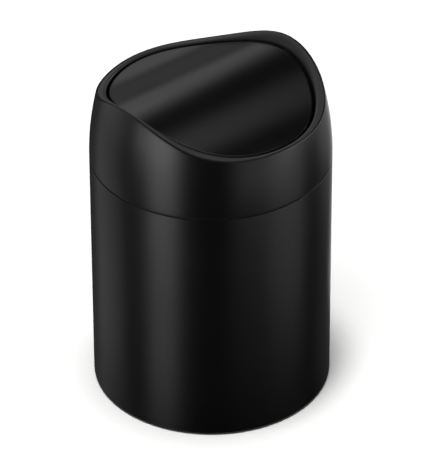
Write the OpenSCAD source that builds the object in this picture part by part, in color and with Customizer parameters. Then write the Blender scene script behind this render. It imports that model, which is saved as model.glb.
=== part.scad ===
// Countertop trash can with a lift-off collar and a swing flap, in millimetres.
// Z is up, the origin is the middle of the footprint on the worktop.
// X runs along the ridge of the lid, which is also the axis of the flap. The front is -Y.

/* [Body] */
// Diameter of the round steel body
body_dia = 127; // [115:1:150]
// Height of the seam between the body and the collar
seam_z = 137.3; // [110:0.1:180]
// Sheet thickness of the body shell
shell_t = 0.5; // [0.4:0.05:0.8]
// Height of the shell's lower edge above the worktop
shell_lift = 1.3; // [1:0.1:2]
// Height of the inside floor above the worktop
floor_z = 8; // [6:0.5:20]
// Sheet thickness of the floor pan
floor_t = 0.6; // [0.4:0.1:1.2]

/* [Base] */
// Height of the base cap's underside, which is how far the pads stand proud
pad_proud = 0.8; // [0.4:0.1:1.5]
// Plate thickness of the base cap
base_t = 2; // [1.6:0.1:3]
// Thickness of the cap's lip under the edge of the floor pan
base_lip_t = 1.2; // [0.8:0.1:1.6]
// Wall thickness of the base cap's rim
base_rim_t = 1.6; // [1:0.1:3]
// Diameter of one foot pad
pad_dia = 12; // [8:0.5:18]
// Depth of the pocket that holds a foot pad
pad_pocket = 1; // [0.5:0.1:1.4]
// Distance from the body's side to the middle of a pad
pad_inset = 11; // [10:0.5:25]
// Number of foot pads
pad_count = 4; // [3:1:6]
// Diameter of the shallow dish in the underside
dish_dia = 84; // [40:1:86]
// Depth of the shallow dish in the underside
dish_depth = 0.6; // [0.3:0.1:1]

/* [Neck ring] */
// Wall thickness of the neck ring inside the shell
neck_t = 1.9; // [1.2:0.1:3]
// Depth of the neck ring below the shell's top edge
neck_depth = 11; // [6:0.5:25]
// Thickness of the neck ring's lip, which shows as the dark seam
seam_gap = 0.7; // [0.4:0.1:1.5]
// How far the lip is set back from the body's side
lip_set_back = 0.3; // [0.2:0.05:0.4]

/* [Collar] */
// Height of the collar from the seam to the ridge of its rim
collar_h = 47.4; // [40:0.1:60]
// Radius of the arc that draws the collar in, upright at the seam
collar_arc_r = 156; // [130:1:260]
// Sheet thickness of the collar skin
collar_t = 0.5; // [0.4:0.05:0.8]
// How far the rim dips from its ridge to its low sides
rim_drop = 15.8; // [8:0.1:22]
// Distance from the body's side in to the line where the rim is lowest
valley_inset = 4.5; // [3:0.1:8]
// Width of the rim at the ends of the ridge
rim_end_w = 4.3; // [3.6:0.1:7]
// Width of the rim at its low sides
rim_side_w = 3; // [2.6:0.1:6]

/* [Collar frame] */
// Wall thickness of the moulded frame behind the skin
frame_t = 1.8; // [1.2:0.1:2.5]
// Thickness of the frame's deck under the rim
deck_t = 2; // [1.2:0.1:3]
// Wall thickness of the skirt round the opening
skirt_t = 1.6; // [1:0.1:2.2]
// Depth of the skirt below the rim's low sides
skirt_drop = 6; // [3:0.5:9]

/* [Locating ring] */
// Wall thickness of the ring that plugs into the neck
ring_t = 1.6; // [1:0.1:2.5]
// How deep the ring plugs into the neck
plug_depth = 9; // [4:0.5:10.5]
// Height of the screw lugs' top face above the seat
lug_z = 7.5; // [5:0.5:12]
// Thickness of a screw lug
lug_t = 2; // [1.5:0.1:3]
// Diameter of a screw lug
lug_dia = 8.4; // [8:0.1:11]
// Length of a frame screw post above its lug
post_h = 11; // [9:0.5:14]
// Diameter of a frame screw post
post_dia = 6.8; // [5.5:0.1:8]
// Number of collar screws
collar_screw_count = 4; // [4:2:4]

/* [Screws] */
// Shank diameter of the screws
screw_dia = 3; // [2:0.1:3.5]
// Head diameter of the screws
screw_head_dia = 5.6; // [4.5:0.1:6.4]
// Head height of the screws
screw_head_h = 1.8; // [1:0.1:2.2]
// Thread length of a collar screw above its lug
collar_screw_l = 8; // [5:0.5:8.5]
// Thread length of a ballast screw above its tab
ballast_screw_l = 3.4; // [2.5:0.1:4.2]

/* [Flap] */
// Gap between the flap and the rim
flap_gap = 1.3; // [1.1:0.1:2]
// How far the flap's ridge lies below the ridge of the rim
recess_ends = 5.1; // [3:0.1:8]
// How far the flap's low sides lie below the low sides of the rim
recess_sides = 0.8; // [0.2:0.1:3]
// Sheet thickness of the flap skin
flap_t = 0.6; // [0.4:0.1:1]
// Depth of the flap skin's turned-down edge
flap_edge_h = 2.8; // [2:0.1:4]
// Thickness of the bonding strips between skin and tray
tape_t = 0.3; // [0.2:0.05:0.5]
// Width of a bonding strip
tape_w = 14; // [8:1:18]
// Distance from the ridge to the middle of a bonding strip
tape_offset = 26; // [16:1:32]
// Length of a bonding strip
tape_l = 66; // [40:1:70]
// Plate thickness of the tray
tray_t = 1.6; // [1.2:0.1:2.2]
// Width of the tray's edge wall
tray_edge_w = 1.6; // [1.2:0.1:3]
// Depth of the tray's edge wall below its plate
tray_edge_h = 1.6; // [1:0.1:2]
// Height of the tray's ribs
rib_h = 1.6; // [1:0.1:2.2]
// Thickness of the tray's ribs
rib_t = 1.2; // [0.8:0.1:2]
// Distance between neighbouring ribs
rib_pitch = 15; // [12:1:18]

/* [Pivot] */
// Depth of the pivot axis below the flap's ridge
axis_depth = 5.2; // [5:0.1:6.5]
// Diameter of a pivot pin
pin_dia = 4; // [3:0.1:4.4]
// How far a pivot pin's head stands out round the pin
pin_head_w = 0.6; // [0.4:0.1:0.8]
// Thickness of a pivot pin's head
pin_head_t = 1; // [0.6:0.1:1.6]
// Length of an ear along the pivot axis
ear_l = 6; // [4:0.1:7]
// Wall round the pin in an ear
ear_wall = 2.6; // [1.6:0.1:2.8]
// Wall thickness of a bush
bush_t = 1.2; // [0.8:0.1:1.4]
// Thickness of a bush's flange
bush_flange_t = 0.7; // [0.4:0.1:0.8]
// How far the flange stands out round the bush
bush_flange_w = 1; // [0.6:0.1:1.4]
// Length of a bush inside its boss
bush_l = 4.2; // [3:0.1:4.4]
// Depth of the flat seat for the bush's flange in the wall of the opening
bush_seat = 0.2; // [0.15:0.05:0.4]
// Wall round the bush in a boss
boss_wall = 1.8; // [1.2:0.1:2.4]

/* [Swing stops] */
// Width of a stop arm across the ridge
stop_w = 3; // [2:0.1:3.2]
// Height of a stop arm
stop_h = 6; // [4:0.5:8]
// Depth of a stop arm's top below the pivot axis
stop_depth = 21; // [19:0.5:23]
// How far a stop arm reaches in past the wall of the opening
stop_reach = 9; // [7:0.5:9.5]
// Wall of the soft bumper round a stop arm
bumper_t = 0.8; // [0.5:0.1:1]
// Length of a soft bumper
bumper_l = 5; // [3:0.5:6]

/* [Ballast] */
// Length of the ballast bar
bar_l = 54; // [40:1:56]
// Width of the ballast bar
bar_w = 12; // [8:0.5:14]
// Height of the ballast bar
bar_h = 7; // [5:0.5:8]
// Depth of the ballast cover's tabs below the flap's ridge
cover_depth = 7.8; // [7:0.1:9]
// Wall thickness of the ballast cover
cover_t = 1.2; // [0.8:0.1:1.8]
// Length of a screw tab at each end of the cover
tab_l = 9; // [8:0.5:9.5]
// Thickness of a screw tab
tab_t = 1.6; // [1.2:0.1:2.4]

/* [Clearances] */
// Clearance between pieces that are pressed or clipped together
seat_clear = 0.05; // [0.02:0.01:0.1]
// Clearance between the collar skin and the frame inside it
skin_clear = 0.1; // [0.05:0.01:0.2]
// Clearance of the locating ring in the neck
plug_clear = 0.3; // [0.2:0.05:0.6]
// Radial running clearance of a pin in its bush
run_clear = 0.06; // [0.03:0.01:0.1]
// Clearance beyond the end of a pin
end_clear = 0.3; // [0.2:0.05:0.5]
// Clearance between the ballast bar and its cover
bar_clear = 0.2; // [0.1:0.05:0.4]
// Radial clearance of a screw in the piece it holds down
screw_clear = 0.2; // [0.1:0.05:0.4]

/* [Hidden] */

$fn = 120;
// Flats along the wave, round the oval opening and up the collar's arc
wave_steps = 36;
oval_steps = 96;
arc_steps = 12;
// How far a cutter runs past what it cuts
over = 1;

// Levels and radii of the body
body_r = body_dia / 2;
seat_z = seam_z + seam_gap / 2;
shell_top = seam_z - seam_gap / 2;
shell_in_r = body_r - shell_t;
pan_r = shell_in_r - seat_clear;
base_lip_top = pad_proud + base_lip_t;
base_r = pan_r - floor_t - seat_clear;
pan_under_z = floor_z - floor_t;
pad_ring_r = body_r - pad_inset;
neck_out_r = shell_in_r - seat_clear;
neck_in_r = neck_out_r - neck_t;

// Levels of the rim and of the flap
ridge_z = seam_z + collar_h;
valley_z = ridge_z - rim_drop;
half_w = body_r - valley_inset;
flap_ridge_z = ridge_z - recess_ends;
flap_valley_z = valley_z - recess_sides;
flap_drop = flap_ridge_z - flap_valley_z;

// Inset of the frame's two faces from the collar's outside
frame_out = collar_t + skin_clear;
frame_in = frame_out + frame_t;

// Half sizes of the oval opening and of the oval flap
open_a = collar_r(ridge_z) - rim_end_w;
open_b = collar_r(valley_z) - rim_side_w;
flap_a = open_a - flap_gap;
flap_b = open_b - flap_gap;
skirt_z = valley_z - skirt_drop;
tray_inset = flap_t + seat_clear;
tray_top_drop = flap_t + tape_t;
tray_under_drop = tray_top_drop + tray_t;
tray_a = flap_a - tray_inset;
tray_b = flap_b - tray_inset;

// Pivot
axis_z = flap_ridge_z - axis_depth;
pin_r = pin_dia / 2;
bush_in_r = pin_r + run_clear;
bush_out_r = bush_in_r + bush_t;
boss_r = bush_out_r + seat_clear + boss_wall;
bush_start = open_a + bush_seat;
bush_end = bush_start + bush_l;
flange_r = bush_out_r + bush_flange_w;
ear_r = pin_r + ear_wall;
ear_end = tray_a;
ear_start = ear_end - ear_l;
pin_end = bush_end - end_clear;
pin_head_r = pin_r + pin_head_w;

// Swing stops
stop_top = axis_z - stop_depth;
stop_tip = open_a - stop_reach;

// Locating ring and its screws
ring_r = neck_in_r - plug_clear;
lug_top = seat_z + lug_z;
post_r = post_dia / 2;
post_ring_r = ring_r - post_r;
screw_r = screw_dia / 2;

// Ballast
cover_z = flap_ridge_z - cover_depth;
trough_l = bar_l + 2 * (bar_clear + cover_t);
trough_w = bar_w + 2 * (bar_clear + cover_t);
trough_z = cover_z - bar_h - bar_clear - cover_t;
tab_x = trough_l / 2 + tab_l / 2;
tray_post_r = screw_r + boss_wall;

// Outside radius of the collar at a height
function collar_r(z) = body_r - collar_arc_r + sqrt(pow(collar_arc_r, 2) - pow(z - seam_z, 2));

// Height of a wave that is highest over the ridge and lowest at the sides
function wave_z(y, low, rise) =
    low + rise * (1 + cos(180 * min(abs(y), half_w) / half_w)) / 2;

// Points along a wave, let down by a given drop
function wave_line(low, rise, drop) =
    [for (i = [0:wave_steps])
        let (y = (body_r + over) * (2 * i / wave_steps - 1))
        [y, wave_z(y, low, rise) - drop]];

function rim_line(drop) = wave_line(valley_z, rim_drop, drop);
function flap_line(drop) = wave_line(flap_valley_z, flap_drop, drop);
function backwards(line) = [for (i = [len(line) - 1:-1:0]) line[i]];

// A profile in Y and Z, run along X across the whole can
module across(points) {
    rotate([90, 0, 90])
        linear_extrude(height = 2 * (body_r + over), center = true)
            polygon(points);
}

// Everything above a wave, up to well past the ridge
module above(line) {
    top = ridge_z + 4 * over;
    across(concat(line, [[body_r + over, top], [-body_r - over, top]]));
}

// Everything below a wave, down to the seat of the collar
module below(line) {
    low = seat_z;
    across(concat(line, [[body_r + over, low], [-body_r - over, low]]));
}

// A sheet between two waves
module between(upper, lower) {
    across(concat(upper, backwards(lower)));
}

// An upright oval column
module oval(a, b, z0, z1) {
    translate([0, 0, z0])
        linear_extrude(height = z1 - z0)
            polygon([for (i = [0:oval_steps - 1])
                let (turn = 360 * i / oval_steps)
                [a * cos(turn), b * sin(turn)]]);
}

// The collar's round form, inset from its outside
module collar_form(inset, z0) {
    top = ridge_z + over;
    rotate_extrude()
        polygon(concat([[0, z0]],
            [for (i = [0:arc_steps])
                let (z = z0 + (top - z0) * i / arc_steps)
                [collar_r(z) - inset, z]],
            [[0, top]]));
}

// A round bar along X, from one place to another
module bar_x(r, x0, x1) {
    translate([x0, 0, axis_z])
        rotate([0, 90, 0])
            cylinder(r = r, h = x1 - x0);
}

// Turns its children to each collar screw, halfway between the axes
module at_collar_screws() {
    for (i = [0:collar_screw_count - 1])
        rotate([0, 0, 360 * (i + 0.5) / collar_screw_count])
            translate([post_ring_r, 0, 0])
                children();
}

// A pan-head screw whose head bears upwards at z = 0
module screw(length) {
    translate([0, 0, -screw_head_h])
        cylinder(d = screw_head_dia, h = screw_head_h, $fn = 48);
    cylinder(r = screw_r, h = length, $fn = 48);
}

// Rolled tube of coated steel sheet
module body_shell() {
    color("#1d1d1f")
        translate([0, 0, shell_lift])
            difference() {
                cylinder(r = body_r, h = shell_top - shell_lift);
                translate([0, 0, -over])
                    cylinder(r = shell_in_r, h = shell_top - shell_lift + 2 * over);
            }
}

// Pressed steel floor with a turned-down flange
module floor_pan() {
    color("#3a3b3d")
        rotate_extrude()
            polygon([
                [0, pan_under_z],
                [pan_r - floor_t, pan_under_z],
                [pan_r - floor_t, base_lip_top],
                [pan_r, base_lip_top],
                [pan_r, floor_z],
                [0, floor_z]]);
}

// Moulded cap under the floor, with pockets for the pads
module base_cap() {
    color("#161617")
        difference() {
            rotate_extrude()
                polygon([
                    [0, pad_proud],
                    [pan_r, pad_proud],
                    [pan_r, base_lip_top],
                    [base_r, base_lip_top],
                    [base_r, pan_under_z],
                    [base_r - base_rim_t, pan_under_z],
                    [base_r - base_rim_t, pad_proud + base_t],
                    [0, pad_proud + base_t]]);
            translate([0, 0, pad_proud - over])
                cylinder(d = dish_dia, h = dish_depth + over);
            at_pads()
                translate([0, 0, pad_proud - over])
                    cylinder(d = pad_dia + 2 * seat_clear, h = pad_pocket + over, $fn = 60);
        }
}

// Turns its children to each foot pad, halfway between the axes
module at_pads() {
    for (i = [0:pad_count - 1])
        rotate([0, 0, 360 * (i + 0.5) / pad_count])
            translate([pad_ring_r, 0, 0])
                children();
}

// Soft non-slip pads, seated in the cap's pockets
module foot_pads() {
    color("#2a2a2c")
        at_pads()
            cylinder(d = pad_dia, h = pad_proud + pad_pocket, $fn = 60);
}

// Moulded ring in the top of the shell, with the lip that the collar rests on
module neck_ring() {
    color("#111112")
        rotate_extrude()
            polygon([
                [neck_in_r, shell_top - neck_depth],
                [neck_out_r, shell_top - neck_depth],
                [neck_out_r, shell_top],
                [body_r - lip_set_back, shell_top],
                [body_r - lip_set_back, seat_z],
                [neck_in_r, seat_z]]);
}

// Drawn-in steel skin of the collar, trimmed to the wave of the rim
module collar_skin() {
    color("#1d1d1f")
        difference() {
            collar_form(0, seat_z);
            collar_form_bore(collar_t);
            above(rim_line(0));
        }
}

// The same round form run past the seat, for hollowing
module collar_form_bore(inset) {
    translate([0, 0, -over])
        cylinder(r = collar_r(seat_z) - inset, h = seat_z + over);
    collar_form(inset, seat_z);
    translate([0, 0, ridge_z])
        cylinder(r = collar_r(ridge_z + over) - inset, h = 4 * over);
}

// Moulded frame: outer wall, deck and skirt round the opening, pivot bosses and stops
module collar_frame() {
    color("#18181a")
        difference() {
            union() {
                difference() {
                    collar_form(frame_out, seat_z);
                    collar_form_bore(frame_in);
                }
                intersection() {
                    collar_form(frame_out, seat_z);
                    frame_inside();
                }
            }
            above(rim_line(0));
            oval(open_a, open_b, skirt_z - over, ridge_z + over);
            for (side = [-1, 1])
                mirror([side < 0 ? 1 : 0, 0, 0]) {
                    bar_x(bush_out_r + seat_clear, open_a - over, bush_end + seat_clear);
                    bar_x(flange_r + seat_clear, open_a - over, bush_start);
                }
            at_collar_screws()
                translate([0, 0, lug_top - over])
                    cylinder(r = screw_r + seat_clear, h = collar_screw_l + 2 * over, $fn = 48);
        }
    color("#18181a")
        stop_arms(0, stop_tip, open_a + over);
}

// What stands inside the frame's outer wall
module frame_inside() {
    between(rim_line(0), rim_line(deck_t));
    oval(open_a + skirt_t, open_b + skirt_t, skirt_z, ridge_z + over);
    for (side = [-1, 1])
        mirror([side < 0 ? 1 : 0, 0, 0]) {
            bar_x(boss_r, open_a, body_r);
            translate([open_a, -stop_w / 2, stop_top - stop_h])
                cube([body_r - open_a, stop_w, stop_depth + stop_h]);
        }
    at_collar_screws() {
        translate([0, 0, lug_top])
            cylinder(r = post_r, h = post_h, $fn = 60);
        translate([0, -post_r / 2, lug_top])
            cube([body_r, post_r, post_h]);
    }
}

// The two arms that end the flap's swing, or a sleeve of a given wall round them
module stop_arms(wall, x0, x1) {
    for (side = [-1, 1])
        mirror([side < 0 ? 1 : 0, 0, 0])
            translate([x0, -stop_w / 2 - wall, stop_top - stop_h - wall])
                cube([x1 - x0, stop_w + 2 * wall, stop_h + 2 * wall]);
}

// Soft sleeves on the tips of the stop arms
module stop_bumpers() {
    color("#303033")
        difference() {
            stop_arms(seat_clear + bumper_t, stop_tip - bumper_t, stop_tip - bumper_t + bumper_l);
            stop_arms(seat_clear, stop_tip - seat_clear, stop_tip + bumper_l + over);
        }
}

// Ring that plugs into the neck and keeps the collar central, with a lug for each screw
module locating_ring() {
    color("#141415")
        difference() {
            union() {
                difference() {
                    translate([0, 0, seat_z - plug_depth])
                        cylinder(r = ring_r, h = plug_depth + lug_z);
                    translate([0, 0, seat_z - plug_depth - over])
                        cylinder(r = ring_r - ring_t, h = plug_depth + lug_z + 2 * over);
                }
                intersection() {
                    at_collar_screws()
                        translate([0, 0, lug_top - lug_t])
                            cylinder(d = lug_dia, h = lug_t, $fn = 60);
                    translate([0, 0, lug_top - lug_t - over])
                        cylinder(r = ring_r, h = lug_t + over);
                }
            }
            at_collar_screws()
                translate([0, 0, lug_top - lug_t - over])
                    cylinder(r = screw_r + screw_clear, h = lug_t + 2 * over, $fn = 48);
            at_collar_screws()
                translate([0, 0, lug_top - lug_t - screw_head_h - over])
                    cylinder(d = screw_head_dia + 2 * screw_clear, h = screw_head_h + over, $fn = 48);
        }
}

// Screws that hold the locating ring up to the frame's posts
module collar_screws() {
    color("#8d8f93")
        at_collar_screws()
            translate([0, 0, lug_top - lug_t])
                screw(lug_t + collar_screw_l);
}

// Flanged bush, pressed into its boss from the opening side
module pivot_bush() {
    color("#d8d4c8")
        difference() {
            union() {
                bar_x(bush_out_r, bush_start - bush_flange_t, bush_end);
                bar_x(flange_r, bush_start - bush_flange_t, bush_start);
            }
            bar_x(bush_in_r, bush_start - bush_flange_t - over, bush_end + over);
        }
}

// Headed pin, pressed through the tray's ear from the inside and turning in the bush
module pivot_pin() {
    color("#a8aaae") {
        bar_x(pin_r, ear_start - over / 2, pin_end);
        bar_x(pin_head_r, ear_start - pin_head_t, ear_start);
    }
}

// The bushes and pins at the two ends of the axis
module pivot_bush_right() {
    pivot_bush();
}

module pivot_bush_left() {
    mirror([1, 0, 0])
        pivot_bush();
}

module pivot_pin_right() {
    pivot_pin();
}

module pivot_pin_left() {
    mirror([1, 0, 0])
        pivot_pin();
}

// Arched steel skin of the flap with a turned-down edge
module flap_skin() {
    color("#1f1f21")
        difference() {
            oval(flap_a, flap_b, flap_valley_z - flap_edge_h - over, flap_ridge_z + over);
            above(flap_line(0));
            below(flap_line(flap_edge_h));
            intersection() {
                oval(flap_a - flap_t, flap_b - flap_t, seat_z, flap_ridge_z + over);
                below(flap_line(flap_t));
            }
        }
}

// Two strips that bond the skin to the tray
module flap_bonding_strips() {
    color("#0d0d0e")
        intersection() {
            between(flap_line(flap_t), flap_line(tray_top_drop));
            for (side = [-1, 1])
                translate([-tape_l / 2, side * tape_offset - tape_w / 2, seat_z])
                    cube([tape_l, tape_w, ridge_z - seat_z]);
        }
}

// Moulded tray under the skin: plate, edge wall, ribs, screw posts and the pivot ears
module flap_tray() {
    color("#19191b")
        difference() {
            union() {
                intersection() {
                    between(flap_line(tray_top_drop), flap_line(tray_under_drop));
                    oval(tray_a, tray_b, seat_z, ridge_z);
                }
                intersection() {
                    between(flap_line(tray_top_drop + tray_t / 2), flap_line(tray_under_drop + tray_edge_h));
                    difference() {
                        oval(tray_a, tray_b, seat_z, ridge_z);
                        oval(tray_a - tray_edge_w, tray_b - tray_edge_w, seat_z - over, ridge_z + over);
                    }
                }
                intersection() {
                    between(flap_line(tray_top_drop + tray_t / 2), flap_line(tray_under_drop + rib_h));
                    tray_ribs();
                    oval(tray_a - tray_edge_w / 2, tray_b - tray_edge_w / 2, seat_z, ridge_z);
                }
                intersection() {
                    tray_ears_and_posts();
                    below(flap_line(tray_top_drop + tray_t / 2));
                    oval(tray_a, tray_b, seat_z, ridge_z);
                }
            }
            for (side = [-1, 1])
                mirror([side < 0 ? 1 : 0, 0, 0]) {
                    bar_x(pin_r + seat_clear, ear_start - over, ear_end + over);
                    bar_x(pin_head_r + bar_clear, ear_start - pin_head_t - bar_clear, ear_start);
                    translate([tab_x, 0, cover_z - over])
                        cylinder(r = screw_r + seat_clear, h = over + ballast_screw_l + seat_clear, $fn = 48);
                }
        }
}

// Ribs across the ridge, left out where the ballast cover lies
module tray_ribs() {
    rib_count = floor((tray_a - ear_l) / rib_pitch);
    for (i = [-rib_count:rib_count])
        for (side = [-1, 1])
            translate([i * rib_pitch - rib_t / 2, side > 0 ? trough_w / 2 + over : -body_r, seat_z])
                cube([rib_t, body_r - trough_w / 2 - over, ridge_z - seat_z]);
}

// Ears that carry the pivot pins, and posts for the ballast screws
module tray_ears_and_posts() {
    for (side = [-1, 1])
        mirror([side < 0 ? 1 : 0, 0, 0]) {
            bar_x(ear_r, ear_start, ear_end);
            translate([ear_start, -ear_r, axis_z])
                cube([ear_l, 2 * ear_r, axis_depth]);
            translate([tab_x, 0, cover_z])
                cylinder(r = tray_post_r, h = cover_depth, $fn = 60);
        }
}

// Bar that keeps the flap level, lying in its cover
module ballast_bar() {
    color("#6f7276")
        translate([-bar_l / 2, -bar_w / 2, trough_z + cover_t])
            cube([bar_l, bar_w, bar_h]);
}

// Trough that holds the bar up under the tray, with a screw tab at each end
module ballast_cover() {
    color("#1b1b1d")
        difference() {
            union() {
                translate([-trough_l / 2, -trough_w / 2, trough_z])
                    cube([trough_l, trough_w, cover_z - trough_z]);
                translate([-tab_x - tab_l / 2, -trough_w / 2, cover_z - tab_t])
                    cube([2 * tab_x + tab_l, trough_w, tab_t]);
            }
            translate([-bar_l / 2 - bar_clear, -bar_w / 2 - bar_clear, trough_z + cover_t])
                cube([bar_l + 2 * bar_clear, bar_w + 2 * bar_clear, cover_z - trough_z]);
            for (side = [-1, 1])
                translate([side * tab_x, 0, cover_z - tab_t - over])
                    cylinder(r = screw_r + screw_clear, h = tab_t + 2 * over, $fn = 48);
        }
}

// Screws that hold the ballast cover up to the tray's posts
module ballast_screws() {
    color("#8d8f93")
        for (side = [-1, 1])
            translate([side * tab_x, 0, cover_z - tab_t])
                screw(tab_t + ballast_screw_l);
}

body_shell();
floor_pan();
base_cap();
foot_pads();
neck_ring();
collar_skin();
collar_frame();
locating_ring();
collar_screws();
pivot_bush_left();
pivot_bush_right();
stop_bumpers();
flap_skin();
flap_bonding_strips();
flap_tray();
pivot_pin_left();
pivot_pin_right();
ballast_bar();
ballast_cover();
ballast_screws();
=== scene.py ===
"""Looks of a small countertop trash can with a swing flap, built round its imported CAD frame.

Sizes in the classes are millimetres in the frame's own axes: Z is up, X runs along the lid's ridge and
the front is -Y. A Sketch turns them to metres when it makes a mesh.
"""
from __future__ import annotations

import logging
import math
from dataclasses import dataclass, field
from enum import Enum
from typing import Any, Sequence

import bmesh
import bpy
import numpy as np
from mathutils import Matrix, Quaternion, Vector

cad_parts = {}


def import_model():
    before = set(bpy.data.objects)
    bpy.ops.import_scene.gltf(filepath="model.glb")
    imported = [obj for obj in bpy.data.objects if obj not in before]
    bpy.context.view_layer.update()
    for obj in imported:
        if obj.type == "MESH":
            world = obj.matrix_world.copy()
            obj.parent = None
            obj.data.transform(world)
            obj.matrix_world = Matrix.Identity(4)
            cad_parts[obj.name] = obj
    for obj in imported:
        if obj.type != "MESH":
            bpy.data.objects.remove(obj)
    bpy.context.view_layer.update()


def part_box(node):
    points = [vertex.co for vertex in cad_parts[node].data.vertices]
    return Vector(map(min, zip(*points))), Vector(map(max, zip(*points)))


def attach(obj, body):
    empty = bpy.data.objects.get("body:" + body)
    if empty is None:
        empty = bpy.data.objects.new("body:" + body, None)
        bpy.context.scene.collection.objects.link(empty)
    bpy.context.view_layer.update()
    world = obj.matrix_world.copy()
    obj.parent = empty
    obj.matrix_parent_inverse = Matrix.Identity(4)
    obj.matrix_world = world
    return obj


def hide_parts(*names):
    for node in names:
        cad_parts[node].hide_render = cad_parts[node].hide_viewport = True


LOG = logging.getLogger("trash_can")
MM = 0.001
# Flats in one full turn of a large and of a small round piece
ROUND, SMALL_ROUND = 360, 64
# Faces that meet at a sharper angle keep a hard edge
CREASE = math.radians(38)
TURN = 2 * math.pi
# Below this size a ring is a point
TINY = 1e-6
WHITE = (1, 1, 1, 1)
# Nearly all of a noise texture's values lie between these
NOISE_LOW, NOISE_HIGH = 0.3, 0.7


class Axis(Enum):
    """The direction that a turned or drawn piece runs along."""

    X = "x"
    Y = "y"
    Z = "z"

    def place(self, across: np.ndarray, up: np.ndarray, along: np.ndarray) -> np.ndarray:
        """Puts a section's two measures and its place along the axis into X, Y and Z.

        Args:
            across: The section's first measure.
            up: The section's second measure.
            along: The place along the axis.

        Returns:
            The points, with X, Y and Z last.
        """
        across, up, along = np.broadcast_arrays(across, up, along)
        order = {Axis.X: (along, across, up), Axis.Y: (across, along, up), Axis.Z: (across, up, along)}
        return np.stack(order[self], axis=-1)


def full_turn(segments: int = ROUND) -> np.ndarray:
    """Directions spaced evenly round a circle."""
    return np.linspace(0, TURN, segments, endpoint=False)


def ring_at(turns: np.ndarray, radius: np.ndarray | float, height: np.ndarray | float) -> np.ndarray:
    """One ring of points round Z."""
    return Axis.Z.place(radius * np.cos(turns), radius * np.sin(turns), np.asarray(height))


def quarter(count: int) -> list[tuple[float, float]]:
    """Points along a rounded edge of radius 1, each as its distances in from the edge's two flanks."""
    return [(1 - math.cos(bend), 1 - math.sin(bend)) for bend in np.linspace(0, math.pi / 2, count)]


def rounded(corners: Sequence[tuple[float, float, float]], closed: bool = True, steps: int = 5) -> np.ndarray:
    """Rounds an outline's corners. A support point past each end of an arc keeps the flats beside it flat.

    Args:
        corners: The outline's corners, each as two coordinates and a radius.
        closed: The last corner joins the first.
        steps: The flats in one rounded corner.

    Returns:
        The outline's points.
    """
    points: list[np.ndarray] = []
    count = len(corners)
    for index, (first, second, radius) in enumerate(corners):
        corner = np.array([first, second], float)
        if radius <= 0 or (not closed and index in (0, count - 1)):
            points.append(corner)
            continue
        back = np.array(corners[index - 1][:2], float) - corner
        ahead = np.array(corners[(index + 1) % count][:2], float) - corner
        room = 0.5 * min(np.linalg.norm(back), np.linalg.norm(ahead))
        back /= np.linalg.norm(back)
        ahead /= np.linalg.norm(ahead)
        half = math.acos(float(np.clip(back @ ahead, -1, 1))) / 2
        reach = radius / math.tan(half)
        middle = corner + (back + ahead) / np.linalg.norm(back + ahead) * radius / math.sin(half)
        start, end = corner + back * reach, corner + ahead * reach
        support = 1.5 * reach
        if support < room:
            points.append(corner + back * support)
        first_angle = math.atan2(*(start - middle)[::-1])
        last_angle = math.atan2(*(end - middle)[::-1])
        swing = (last_angle - first_angle + math.pi) % TURN - math.pi
        for step in range(steps + 1):
            angle = first_angle + swing * step / steps
            points.append(middle + radius * np.array([math.cos(angle), math.sin(angle)]))
        if support < room:
            points.append(corner + ahead * support)
    return np.array(points)


def plate_outline(half_u: float, half_v: float, corner: float, inset: float, steps: int = 6) -> np.ndarray:
    """The outline of a plate with round corners, drawn in from its edge.

    Args:
        half_u: Half the plate's length.
        half_v: Half the plate's width.
        corner: The radius of its corners.
        inset: How far the outline lies inside the plate's edge.
        steps: The flats in one corner.

    Returns:
        The outline's points, the same number at every inset.
    """
    radius = max(corner - inset, 0.02)
    u, v = half_u - inset - radius, half_v - inset - radius
    turns = np.linspace(0, math.pi / 2, steps + 1)
    quarters = [(u, v, 0.0), (-u, v, 0.5), (-u, -v, 1.0), (u, -v, 1.5)]
    rows = []
    for middle_u, middle_v, half_turns in quarters:
        angles = turns + half_turns * math.pi
        rows.append(np.stack([middle_u + radius * np.cos(angles), middle_v + radius * np.sin(angles)], -1))
    return np.concatenate(rows)


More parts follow.
